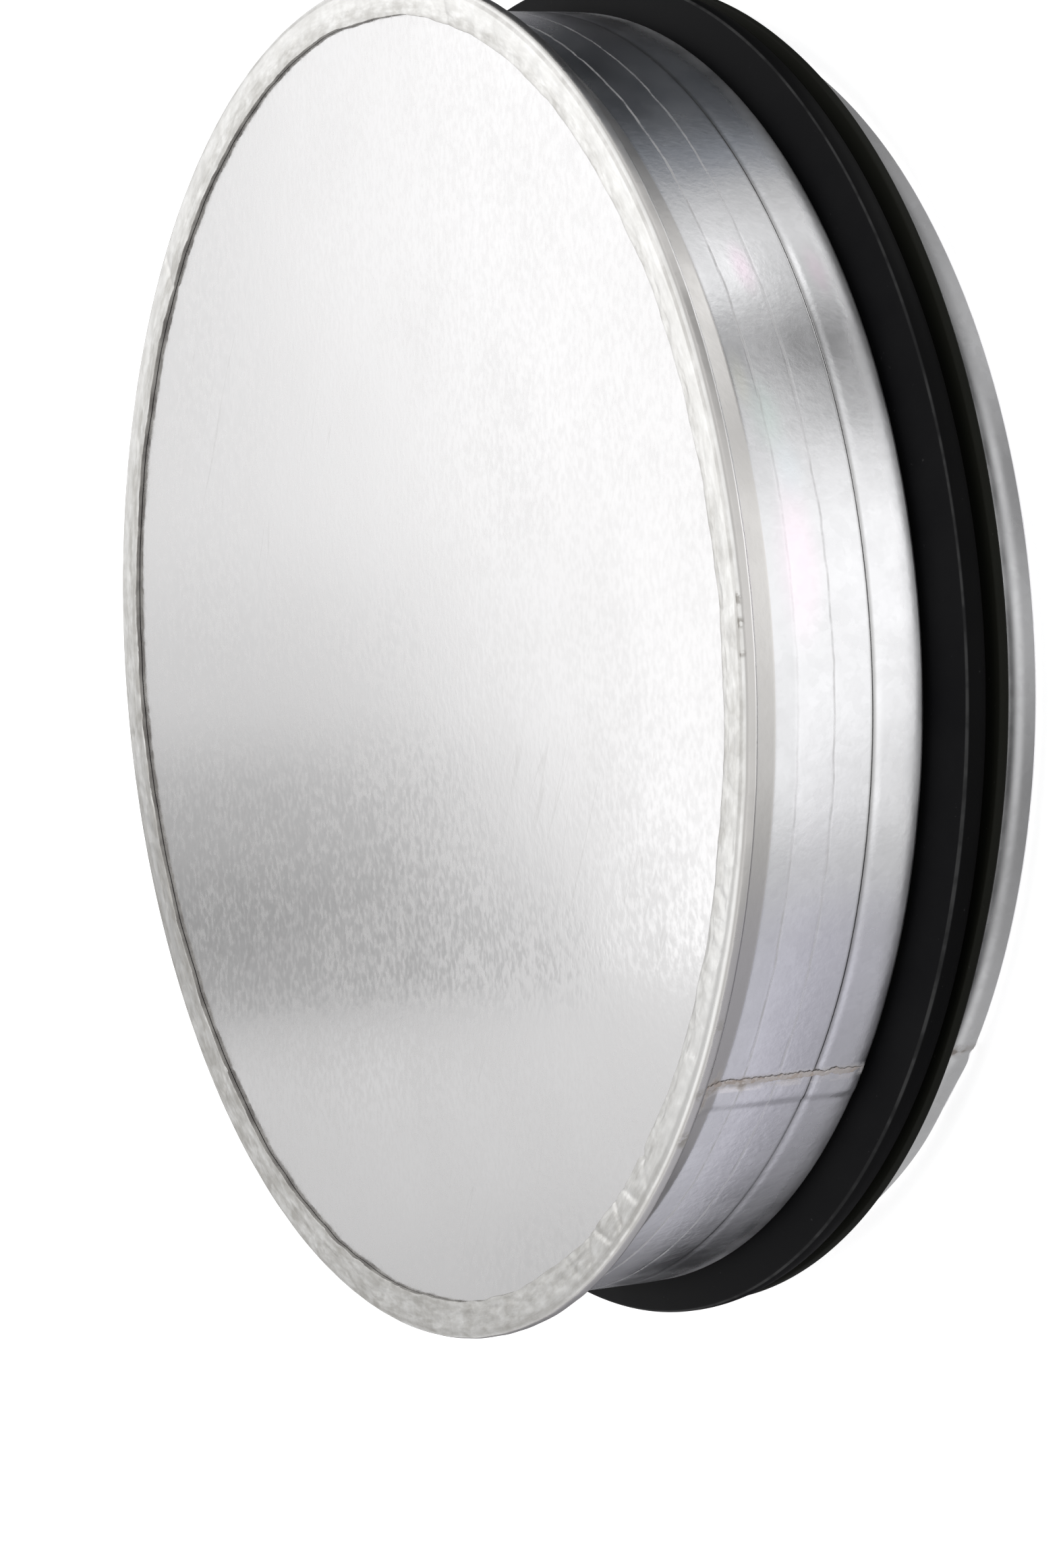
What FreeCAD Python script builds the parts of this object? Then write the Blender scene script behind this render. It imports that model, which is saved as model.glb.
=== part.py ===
"""Duct end cap: a plug that closes the end of a round spiral duct.

It is three pieces. The collar is one rolled strip of galvanised sheet that slides into the duct: its
front edge is flanged outward and folded 180 degrees inward over the disc, and its open edge is folded
back outward over the foot of the seal. The end disc is a flat blank held in the rim fold. The lip seal
is a rubber ring with two lips, seated on the reduced end of the collar.

The axis is +Z. The cap stands on its open end, so Z is 0 at the open end and the closed face is on top.
Every outline below is a half section: a radius and a height for each corner.
"""

import FreeCAD, Part
import math
import os

import Sketcher

Vector = FreeCAD.Vector

SIZES = (
    ("collar_radius", 79.5, "outside of the straight part of the collar"),
    ("sheet", 0.7, "thickness of the collar's sheet"),
    ("insertion_depth", 40.0, "open end to the back face of the rim, the part that enters the duct"),
    ("disc_thickness", 0.8, "thickness of the end disc"),
    ("rim_stand", 3.9, "how far the rim stands out past the collar"),
    ("hem_width", 4.6, "how far the folded edge reaches inward over the disc"),
    ("rim_bevel_width", 1.1, "width of the bevel round the front of the rim"),
    ("rim_bevel_drop", 0.55, "height of the bevel round the front of the rim"),
    ("rim_back_bevel", 0.45, "bevel round the back of the rim"),
    ("disc_clearance", 0.2, "gap between the disc's edge and the inside of the rim fold"),
    ("flare_stand", 1.5, "how far the flared shoulder stands out where it meets the rim"),
    ("flare_length", 4.1, "length of the flared shoulder along the axis"),
    ("root_bevel", 0.5, "inside bend between the shoulder and the rim"),
    ("groove_rise", 5.0, "top of the taper to the middle of the rolled groove"),
    ("groove_width", 1.0, "width of the rolled groove"),
    ("groove_depth", 0.35, "depth of the rolled groove"),
    ("end_step", 2.5, "how much smaller the reduced end that carries the seal is, in radius"),
    ("taper_length", 2.6, "length of the taper along the axis"),
    ("taper_gap", 0.3, "gap between the front of the seal and the taper"),
    ("foot_thickness", 0.6, "thickness of the seal's foot, and so the gap in the open end's fold"),
    ("fold_height", 5.4, "open end to the raw edge that is folded back over the foot"),
    ("fold_bottom", 1.0, "open end to the inside of its fold"),
    ("fold_bend", 0.9, "outside bend of the open end's fold"),
    ("foot_clearance", 0.3, "gap between the seal's foot and the inside of the fold"),
    ("seal_width", 9.8, "raw edge of the fold to the front of the seal"),
    ("seal_base", 2.4, "height of the seal's base above the reduced end"),
    ("front_lip_stand", 4.2, "how far the front lip stands out past the collar"),
    ("front_lip_lean", 1.6, "front of the seal to the front of the front lip's tip"),
    ("front_lip_width", 3.0, "width of the front lip's tip"),
    ("lip_gap", 0.9, "gap between the two lips at their base"),
    ("rear_lip_stand", 3.4, "how far the rear lip stands out past the collar"),
    ("rear_lip_lean", 2.0, "raw edge of the fold to the back of the rear lip's tip"),
    ("rear_lip_width", 1.5, "width of the rear lip's tip"),
    ("rear_lip_root", 3.6, "width of the rear lip at its base"),
    ("lip_bevel", 0.35, "bevel of both lips' tips"),
    ("seam_lap", 3.6, "width of the welded overlap round the collar"),
    ("seam_rise", 0.3, "how far the pressed overlap stands above the sheet"),
)


def text(number):
    """A plain number as it is written in an expression."""
    return repr(float(number))


class Size:
    """A driving size or a result of several: its value, and the expression that ties it to the sheet."""

    def __init__(self, value, expression):
        self.value = float(value)
        self.expression = expression

    @staticmethod
    def of(other):
        if isinstance(other, Size):
            return other
        return Size(other, text(other))

    def combine(self, other, sign, value):
        return Size(value, "(%s %s %s)" % (self.expression, sign, other.expression))

    def __add__(self, other):
        other = Size.of(other)
        return self.combine(other, "+", self.value + other.value)

    def __sub__(self, other):
        other = Size.of(other)
        return self.combine(other, "-", self.value - other.value)

    def __mul__(self, other):
        other = Size.of(other)
        return self.combine(other, "*", self.value * other.value)

    def __truediv__(self, other):
        other = Size.of(other)
        return self.combine(other, "/", self.value / other.value)

    def __neg__(self):
        return Size(-self.value, "(0 - %s)" % self.expression)


def slope_angle(run, rise):
    """The angle in degrees of a slope, as a size."""
    value = math.degrees(math.atan2(rise.value, run.value))
    return Size(value, "(atan(%s / %s) / 1 deg)" % (rise.expression, run.expression))


def mitre(thickness, angle):
    """How far a bend's inside corner lies along the sheet from its outside corner."""
    value = thickness.value * math.tan(math.radians(angle.value / 2))
    return Size(value, "(%s * tan(%s / 2 * 1 deg))" % (thickness.expression, angle.expression))


def arc_degrees(width, radius):
    """The angle in degrees that a width along the circumference covers."""
    value = math.degrees(width.value / radius.value)
    return Size(value, "(%s / %s * 180 / pi)" % (width.expression, radius.expression))


doc = FreeCAD.newDocument("duct_end_cap")
sheet = doc.addObject("Spreadsheet::Sheet", "Sizes")
sheet.set("A1", "Size in millimetres")
sheet.set("B1", "Value")
size = {}
for row, (alias, number, meaning) in enumerate(SIZES, start=2):
    sheet.set("A%d" % row, meaning)
    sheet.set("B%d" % row, text(number))
    sheet.setAlias("B%d" % row, alias)
    size[alias] = Size(number, "Sizes.%s" % alias)
doc.recompute()


def new_body(name):
    """A body whose label is the name of its file."""
    body = doc.addObject("PartDesign::Body", name)
    body.Label = name
    body.Placement = FreeCAD.Placement()
    return body


def origin_plane(body, role):
    """One of the body's own origin planes."""
    return next(item for item in body.Origin.OriginFeatures if item.Role == role)


def new_sketch(body, name, role):
    """An empty sketch on one of the body's origin planes."""
    sketch = body.newObject("Sketcher::SketchObject", name)
    sketch.AttachmentSupport = [(origin_plane(body, role), "")]
    sketch.MapMode = "FlatFace"
    return sketch


def section_sketch(body, name, corners, role="XZ_Plane"):
    """A closed outline whose corners are each tied to the sheet by a radius and a height."""
    sketch = new_sketch(body, name, role)
    points = [Vector(r.value, z.value, 0) for r, z in corners]
    count = len(points)
    for index, point in enumerate(points):
        sketch.addGeometry(Part.LineSegment(point, points[(index + 1) % count]), False)
    for index in range(count):
        sketch.addConstraint(Sketcher.Constraint("Coincident", index, 2, (index + 1) % count, 1))
    for index, (r, z) in enumerate(corners):
        for kind, distance in (("DistanceX", r), ("DistanceY", z)):
            number = sketch.addConstraint(
                Sketcher.Constraint(kind, -1, 1, index, 1, distance.value)
            )
            sketch.setExpression("Constraints[%d]" % number, distance.expression)
    return sketch


def revolve(body, name, sketch, angle=None, reverse=False):
    """Turn a section about the axis: all the way round, or by an angle given as a size."""
    feature = body.newObject("PartDesign::Revolution", name)
    feature.Profile = sketch
    feature.ReferenceAxis = (sketch, ["V_Axis"])
    feature.Reversed = reverse
    feature.Angle = 360.0
    if angle is not None:
        feature.Angle = angle.value
        feature.setExpression("Angle", angle.expression)
    sketch.Visibility = False
    doc.recompute()
    return feature


ZERO = Size(0.0, "0")
MIDWAY = 1 - math.sqrt(0.5)


def quarter_bend(corner, before, after, radius):
    """Three corners that round a square one: before and after are the ways along its two sides."""
    r, z = corner
    partway = radius * MIDWAY
    return [
        (r + radius * before[0], z + radius * before[1]),
        (r + partway * (before[0] + after[0]), z + partway * (before[1] + after[1])),
        (r + radius * after[0], z + radius * after[1]),
    ]


INWARD = (-1, 0)
OUTWARD = (1, 0)
UP = (0, 1)

thick = size["sheet"]

# Heights from the open end, and radii from the collar's.
rim_radius = size["collar_radius"] + size["rim_stand"]
flare_radius = size["collar_radius"] + size["flare_stand"]
end_radius = size["collar_radius"] - size["end_step"]
back_face = size["insertion_depth"]
disc_bottom = back_face + thick
disc_top = disc_bottom + size["disc_thickness"]
closed_face = disc_top + thick
inner_radius = size["collar_radius"] - thick
end_inner_radius = end_radius - thick
hem_radius = rim_radius - size["hem_width"]
fold_inner_radius = rim_radius - thick
seal_top = size["fold_height"] + size["seal_width"]
taper_bottom = seal_top + size["taper_gap"]
taper_top = taper_bottom + size["taper_length"]
flare_bottom = back_face - size["flare_length"]
groove_height = taper_top + size["groove_rise"]
half_groove = size["groove_width"] / 2
foot_outer_radius = end_radius + size["foot_thickness"]
fold_radius = foot_outer_radius + thick
taper_shift = mitre(thick, slope_angle(size["taper_length"], size["end_step"]))
flare_shift = mitre(thick, slope_angle(size["flare_length"], size["flare_stand"]))
flange_root = flare_radius - thick

# The collar: rim fold, flared shoulder, straight wall with its rolled groove, taper, and open end fold.
# The section starts at the raw edge of the open end's fold, goes up the inside and comes down the outside.
collar = new_body("collar")
fold_section = [
    (foot_outer_radius, size["fold_height"]),
    (fold_radius, size["fold_height"]),
    *quarter_bend((fold_radius, ZERO), UP, INWARD, size["fold_bend"]),
    *quarter_bend((end_inner_radius, ZERO), OUTWARD, UP, size["fold_bend"]),
]
inside_section = [
    (end_inner_radius, taper_bottom - taper_shift),
    (inner_radius, taper_top - taper_shift),
    (inner_radius, groove_height - half_groove),
    (inner_radius - size["groove_depth"], groove_height),
    (inner_radius, groove_height + half_groove),
    (inner_radius, flare_bottom + flare_shift),
    (flange_root - size["root_bevel"] / 2, disc_bottom - size["root_bevel"]),
    (flange_root + size["root_bevel"], disc_bottom),
]
rim_section = [
    (fold_inner_radius, disc_bottom),
    (fold_inner_radius, disc_top),
    (hem_radius, disc_top),
    (hem_radius, closed_face),
    (rim_radius - size["rim_bevel_width"], closed_face),
    (rim_radius, closed_face - size["rim_bevel_drop"]),
    (rim_radius, back_face + size["rim_back_bevel"]),
    (rim_radius - size["rim_back_bevel"], back_face),
]
outside_section = [
    (flare_radius, back_face),
    (size["collar_radius"], flare_bottom),
    (size["collar_radius"], groove_height + half_groove),
    (size["collar_radius"] - size["groove_depth"], groove_height),
    (size["collar_radius"], groove_height - half_groove),
    (size["collar_radius"], taper_top),
    (end_radius, taper_bottom),
    (end_radius, size["fold_bottom"]),
    (foot_outer_radius, size["fold_bottom"]),
]
collar_section = section_sketch(
    collar, "collar_section", fold_section + inside_section + rim_section + outside_section
)
collar_ring = revolve(collar, "collar_ring", collar_section)

# The strip's two ends overlap and are pressed and welded together, which leaves a low raised band.
lap_angle = arc_degrees(size["seam_lap"], size["collar_radius"])
mid_sheet = thick / 2
rise = size["seam_rise"]
wall_lap = section_sketch(
    collar,
    "wall_lap",
    [
        (-(end_radius - mid_sheet), seal_top),
        (-(end_radius + rise), seal_top),
        (-(end_radius + rise), taper_bottom),
        (-(size["collar_radius"] + rise), taper_top),
        (-(size["collar_radius"] + rise), flare_bottom),
        (-(flare_radius + rise), back_face),
        (-(flare_radius - mid_sheet), back_face),
        (-(size["collar_radius"] - mid_sheet), flare_bottom),
        (-(size["collar_radius"] - mid_sheet), taper_top - taper_shift),
        (-(end_radius - mid_sheet), taper_bottom - taper_shift),
    ],
    "YZ_Plane",
)
wall_seam = revolve(collar, "wall_seam", wall_lap, lap_angle, True)
fold_lap = section_sketch(
    collar,
    "fold_lap",
    [
        (-(fold_radius - mid_sheet), size["fold_bend"]),
        (-fold_radius, size["fold_bend"]),
        (-(fold_radius + rise), size["fold_bend"] + rise),
        (-(fold_radius + rise), size["fold_height"]),
        (-(fold_radius - mid_sheet), size["fold_height"]),
    ],
    "YZ_Plane",
)
fold_seam = revolve(collar, "fold_seam", fold_lap, lap_angle, True)

# The end disc: a flat blank between the flange and the folded edge.
end_disc = new_body("end_disc")
disc_radius = fold_inner_radius - size["disc_clearance"]
disc_section = section_sketch(
    end_disc,
    "disc_section",
    [
        (ZERO, disc_bottom),
        (disc_radius, disc_bottom),
        (disc_radius, disc_top),
        (ZERO, disc_top),
    ],
)
disc_blank = revolve(end_disc, "disc_blank", disc_section)

# The lip seal: foot clamped in the fold, base on the reduced end, and two lips that stand above the collar.
lip_seal = new_body("lip_seal")
front_lip_radius = size["collar_radius"] + size["front_lip_stand"]
rear_lip_radius = size["collar_radius"] + size["rear_lip_stand"]
foot_bottom = size["fold_bottom"] + size["foot_clearance"]
base_radius = end_radius + size["seal_base"]
rear_tip_back = size["fold_height"] + size["rear_lip_lean"]
rear_tip_front = rear_tip_back + size["rear_lip_width"]
rear_root_front = size["fold_height"] + size["rear_lip_root"]
front_root_back = rear_root_front + size["lip_gap"]
front_tip_front = seal_top - size["front_lip_lean"]
front_tip_back = front_tip_front - size["front_lip_width"]
bevel = size["lip_bevel"]
seal_section = section_sketch(
    lip_seal,
    "seal_section",
    [
        (end_radius, foot_bottom),
        (foot_outer_radius, foot_bottom),
        (foot_outer_radius, size["fold_height"]),
        (fold_radius, size["fold_height"]),
        (rear_lip_radius - bevel, rear_tip_back),
        (rear_lip_radius, rear_tip_back + bevel),
        (rear_lip_radius, rear_tip_front),
        (base_radius, rear_root_front),
        (base_radius, front_root_back),
        (front_lip_radius - bevel, front_tip_back),
        (front_lip_radius, front_tip_back + bevel),
        (front_lip_radius, front_tip_front - bevel),
        (front_lip_radius - bevel, front_tip_front),
        (end_radius, seal_top),
    ],
)
seal_ring = revolve(lip_seal, "seal_ring", seal_section)

doc.recompute()

failed = [
    item.Name
    for item in doc.Objects
    if "Invalid" in item.State or "Error" in item.State
]
if failed:
    raise RuntimeError("objects failed: %s" % ", ".join(failed))

sub_parts = (end_disc, collar, lip_seal)
for body in sub_parts:
    shape = body.Shape
    if shape.isNull() or not shape.isValid():
        raise RuntimeError("%s has no valid shape" % body.Label)
    if len(shape.Solids) != 1:
        raise RuntimeError("%s is %d solids" % (body.Label, len(shape.Solids)))

os.makedirs("parts", exist_ok=True)
for body in sub_parts:
    body.Shape.exportStep("parts/%s.step" % body.Label)
    print("%s: volume %.1f mm3, faces %d" % (body.Label, body.Shape.Volume, len(body.Shape.Faces)))
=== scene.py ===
"""Looks of a duct end cap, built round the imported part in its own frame.

The cap stands on its open end, its axis along +Z and its closed face on top. The folded rim, the collar's
wall, the weld along its lap seam, the end disc and the lip seal are each one class, which holds the sizes
of its piece, makes its mesh and dresses it. Sizes are in millimetres unless a comment says otherwise.
Azimuths are in degrees about +Z from +X, and the collar's lap seam is at -90.
"""

import logging
import math
from abc import ABC, abstractmethod
from collections.abc import Sequence
from dataclasses import dataclass, field
from enum import Enum
from typing import ClassVar

import bmesh
import bpy
from mathutils import Matrix, Vector, noise


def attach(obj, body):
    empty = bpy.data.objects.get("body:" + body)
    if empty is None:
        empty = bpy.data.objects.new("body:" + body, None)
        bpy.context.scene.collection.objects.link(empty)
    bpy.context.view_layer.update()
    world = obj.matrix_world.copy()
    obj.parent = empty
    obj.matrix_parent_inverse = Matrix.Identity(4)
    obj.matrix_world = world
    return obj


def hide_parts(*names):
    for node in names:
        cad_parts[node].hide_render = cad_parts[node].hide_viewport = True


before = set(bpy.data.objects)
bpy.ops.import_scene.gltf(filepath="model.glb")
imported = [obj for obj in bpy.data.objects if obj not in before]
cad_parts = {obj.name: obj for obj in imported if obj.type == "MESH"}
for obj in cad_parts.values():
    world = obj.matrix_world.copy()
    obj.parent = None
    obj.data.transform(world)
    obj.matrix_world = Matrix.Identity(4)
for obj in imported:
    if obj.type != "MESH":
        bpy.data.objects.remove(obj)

LOG = logging.getLogger("duct_end_cap")
MM = 0.001
VIEW_AZIMUTH = -51.4
SEAM_AZIMUTH = -90.0
RIM_TOP = 42.0
FINE_LINE = 32.75
DASHED_LINE = 28.05

Colour = tuple[float, float, float]
Place = tuple[float, float, float]
# Where something starts and where it is complete.
Span = tuple[float, float]
# The cells a metre, the detail and the roughness of a noise.
Grain = tuple[float, float, float]
Socket = bpy.types.NodeSocket
Sockets = bpy.types.bpy_prop_collection
Feed = Socket | float | Sequence[float]


class Slot(Enum):
    """The record's material slots."""

    DISC = "disc_sheet"
    COLLAR = "collar_sheet"
    RUBBER = "seal_rubber"


def placed(azimuth: float, radius: float, height: float = 0.0) -> Vector:
    """The point at an azimuth in degrees, a distance from the axis and a height."""
    turn = math.radians(azimuth)
    return Vector((math.cos(turn) * radius, math.sin(turn) * radius, height))


def ripple(azimuth: float, waves: float, seed: float) -> float:
    """An uneven wave round the axis, which joins up after a full turn.

    Args:
        azimuth: Where on the turn, in degrees.
        waves: About how many crests one turn has.
        seed: Which wave, out of any number.

    Returns:
        A height from about -1 to 1.
    """
    return 1.7 * noise.noise(placed(azimuth, waves / math.tau, seed))


def smooth(low: float, high: float, value: float) -> float:
    """A step from 0 at low to 1 at high, eased at both ends."""
    share = min(1.0, max(0.0, (value - low) / (high - low)))
    return share * share * (3.0 - 2.0 * share)


def bell(offset: float, width: float) -> float:
    """A bump of height 1 at offset 0 that fades over a width."""
    return math.exp(-((offset / width) ** 2))


def turned(azimuth: float, centre: float) -> float:
    """The way round from one azimuth to another, in degrees from -180 to 180."""
    return (azimuth - centre + 180.0) % 360.0 - 180.0


def finished(
    mesh: bmesh.types.BMesh, name: str, crease: float, finish: bpy.types.Material
) -> bpy.types.Object:
    """Makes an object of a mesh, with its faces outwards, its creases sharp and its finish on.

    Args:
        mesh: The mesh, which is freed.
        name: The name of the object and its mesh.
        crease: The angle in degrees past which an edge stays sharp.
        finish: The material.

    Returns:
        The object, linked to the scene.
    """
    bmesh.ops.recalc_face_normals(mesh, faces=mesh.faces)
    data = bpy.data.meshes.new(name)
    mesh.to_mesh(data)
    mesh.free()
    data.shade_smooth()
    data.set_sharp_from_angle(angle=math.radians(crease))
    data.materials.append(finish)
    piece = bpy.data.objects.new(name, data)
    bpy.context.scene.collection.objects.link(piece)
    return piece


class Nodes:
    """Adds nodes to a tree and joins them."""

    def __init__(self, tree: bpy.types.NodeTree) -> None:
        """Keeps the tree."""
        self.tree = tree

    def add(
        self, kind: str, feeds: dict[str | int, Feed] | None = None, **settings: object
    ) -> bpy.types.Node:
        """Adds one node.

        Args:
            kind: The node's type.
            feeds: What goes into its inputs, by their name or number: a socket, or a value.
            settings: The node's own properties.

        Returns:
            The node.
        """
        node = self.tree.nodes.new(kind)
        for key, value in settings.items():
            setattr(node, key, value)
        for key, value in (feeds or {}).items():
            self.join(value, node.inputs[key])
        return node

    def join(self, value: Feed, socket: Socket) -> None:
        """Links a socket to an input, or writes a value on it.

        Args:
            value: The socket or the value.
            socket: The input.
        """
        if isinstance(value, bpy.types.NodeSocket):
            self.tree.links.new(value, socket)
        else:
            socket.default_value = value

    def math(self, operation: str, first: Feed, second: Feed = 0.0, clamp: bool = False) -> Socket:
        """A Math node's result.

        Args:
            operation: Which sum it does.
            first: Its first value.
            second: Its second value, where it has one.
            clamp: Whether the result is held between 0 and 1.

        Returns:
            The result.
        """
        node = self.add("ShaderNodeMath", {0: first, 1: second}, operation=operation, use_clamp=clamp)
        return node.outputs[0]

    def total(self, *values: Feed, clamp: bool = False) -> Feed:
        """Adds values up.

        Args:
            values: The values, none of them negative where the sum is held.
            clamp: Whether the sum is held between 0 and 1.

        Returns:
            The sum.
        """
        result = values[0]
        for value in values[1:]:
            result = self.math("ADD", result, value, clamp)
        return result

    def product(self, *values: Feed) -> Feed:
        """Multiplies values.

        Args:
            values: The values.

        Returns:
            Their product.
        """
        result = values[0]
        for value in values[1:]:
            result = self.math("MULTIPLY", result, value)
        return result

    def rest(self, *values: Feed) -> Socket:
        """What is left of 1 without the product of some values."""
        return self.math("SUBTRACT", 1.0, self.product(*values))

    def away(self, value: Feed, centre: Feed) -> Socket:
        """How far a value is from another, either way."""
        return self.math("ABSOLUTE", self.math("SUBTRACT", value, centre))

    def length(self, first: Feed, second: Feed) -> Socket:
        """The length of the long side of a right triangle, from its short sides."""
        squares = self.math("ADD", self.math("POWER", first, 2.0), self.math("POWER", second, 2.0))
        return self.math("SQRT", squares)

    def vectors(self, operation: str, first: Feed, second: Feed) -> Socket:
        """A Vector Math node's vector."""
        return self.add("ShaderNodeVectorMath", {0: first, 1: second}, operation=operation).outputs[0]

    def combined(self, east: Feed, north: Feed, up: Feed) -> Socket:
        """A vector of its three parts."""
        return self.add("ShaderNodeCombineXYZ", {0: east, 1: north, 2: up}).outputs[0]

    def axes(self, place: Socket) -> tuple[Socket, Socket, Socket]:
        """A place's X, Y and Z."""
        parts = self.add("ShaderNodeSeparateXYZ", {0: place}).outputs
        return parts[0], parts[1], parts[2]

    def turned(self, vector: Socket, angle: float) -> Socket:
        """A vector turned about Z by an angle in degrees."""
        feeds = {"Vector": vector, "Rotation": (0.0, 0.0, math.radians(angle))}
        return self.add("ShaderNodeMapping", feeds).outputs[0]

    def mix(self, share: Feed, first: Feed, second: Feed) -> Socket:
        """A colour between two.

        Args:
            share: How much of the second there is.
            first: A colour.
            second: Another colour.

        Returns:
            The colour.
        """
        node = self.add("ShaderNodeMix", {0: share}, data_type="RGBA")
        for value, socket in ((first, node.inputs[6]), (second, node.inputs[7])):
            self.join(value if isinstance(value, bpy.types.NodeSocket) else (*value, 1.0), socket)
        return node.outputs[2]

    def between(self, value: Feed, low: Feed, high: Feed, start: float = 0.0, end: float = 1.0) -> Socket:
        """A value eased from start to end as another goes from low to high."""
        feeds = {"Value": value, "From Min": low, "From Max": high, "To Min": start, "To Max": end}
        return self.add("ShaderNodeMapRange", feeds, interpolation_type="SMOOTHSTEP").outputs["Result"]

    def across(self, size: Feed, span: Span, start: float = 0.0, end: float = 1.0) -> Socket:
        """A value eased from start to end as a size in metres crosses a span in millimetres."""
        return self.between(size, span[0] * MM, span[1] * MM, start, end)

    def band(self, size: Feed, span: Span, soft: float) -> Socket:
        """1 where a size lies in a span, with soft ends.

        Args:
            size: The size, in metres.
            span: The span, in millimetres.
            soft: How long each end is, in millimetres.

        Returns:
            The share of the band.
        """
        low, high = span
        inside = self.across(size, (low - soft, low))
        return self.product(inside, self.across(size, (high, high + soft), 1.0, 0.0))

    def noise(self, vector: Feed, scale: Feed, detail: float, rough: float) -> Socket:
        """A noise texture's value."""
        feeds = {"Vector": vector, "Scale": scale, "Detail": detail, "Roughness": rough}
        return self.add("ShaderNodeTexNoise", feeds).outputs[0]

    def bump(self, height: Feed, strength: Feed, reach: float, normal: Socket | None = None) -> Socket:
        """A Bump node's normal.

        Args:
            height: The height of the surface, from 0 to 1.
            strength: How strong the relief is.
            reach: What a height of 1 is, in millimetres.
            normal: A relief that this one lies on.

        Returns:
            The normal.
        """
        feeds: dict[str | int, Feed] = {"Height": height, "Strength": strength, "Distance": reach * MM}
        if normal is not None:
            feeds["Normal"] = normal
        return self.add("ShaderNodeBump", feeds).outputs["Normal"]

    def straight(self) -> Socket:
        """1 for a ray of the camera, or off what is glossy or through glass, and 0 for any other.

        Returns:
            The 1 or 0.
        """
        path = self.add("ShaderNodeLightPath").outputs
        seen = self.math("MAXIMUM", path["Is Camera Ray"], path["Is Transmission Ray"])
        return self.math("MAXIMUM", seen, path["Is Glossy Ray"])


class Effect(Enum):
    """The effects that several finishes share, each a node group."""

    FLECK = "rolled_fleck"
    SPANGLE = "zinc_spangle"
    PATCH = "ring_patch"
    GRIME = "grime_spots"
    SCRATCH = "fine_scratches"


class Group(Nodes):
    """The nodes of one shared effect, with its inputs and outputs by name."""

    def __init__(self, effect: Effect, inputs: dict[str, float], outputs: Sequence[str]) -> None:
        """Makes an empty group.

        Args:
            effect: Which effect.
            inputs: Its inputs after the vector, with their defaults.
            outputs: The names of its outputs, all values.
        """
        super().__init__(bpy.data.node_groups.new(effect.value, "ShaderNodeTree"))
        face = self.tree.interface
        face.new_socket(name="Vector", in_out="INPUT", socket_type="NodeSocketVector")
        for label, default in inputs.items():
            socket = face.new_socket(name=label, in_out="INPUT", socket_type="NodeSocketFloat")
            socket.default_value = default
        for label in outputs:
            face.new_socket(name=label, in_out="OUTPUT", socket_type="NodeSocketFloat")
        self.given = self.add("NodeGroupInput").outputs
        self.out = self.add("NodeGroupOutput").inputs


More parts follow.
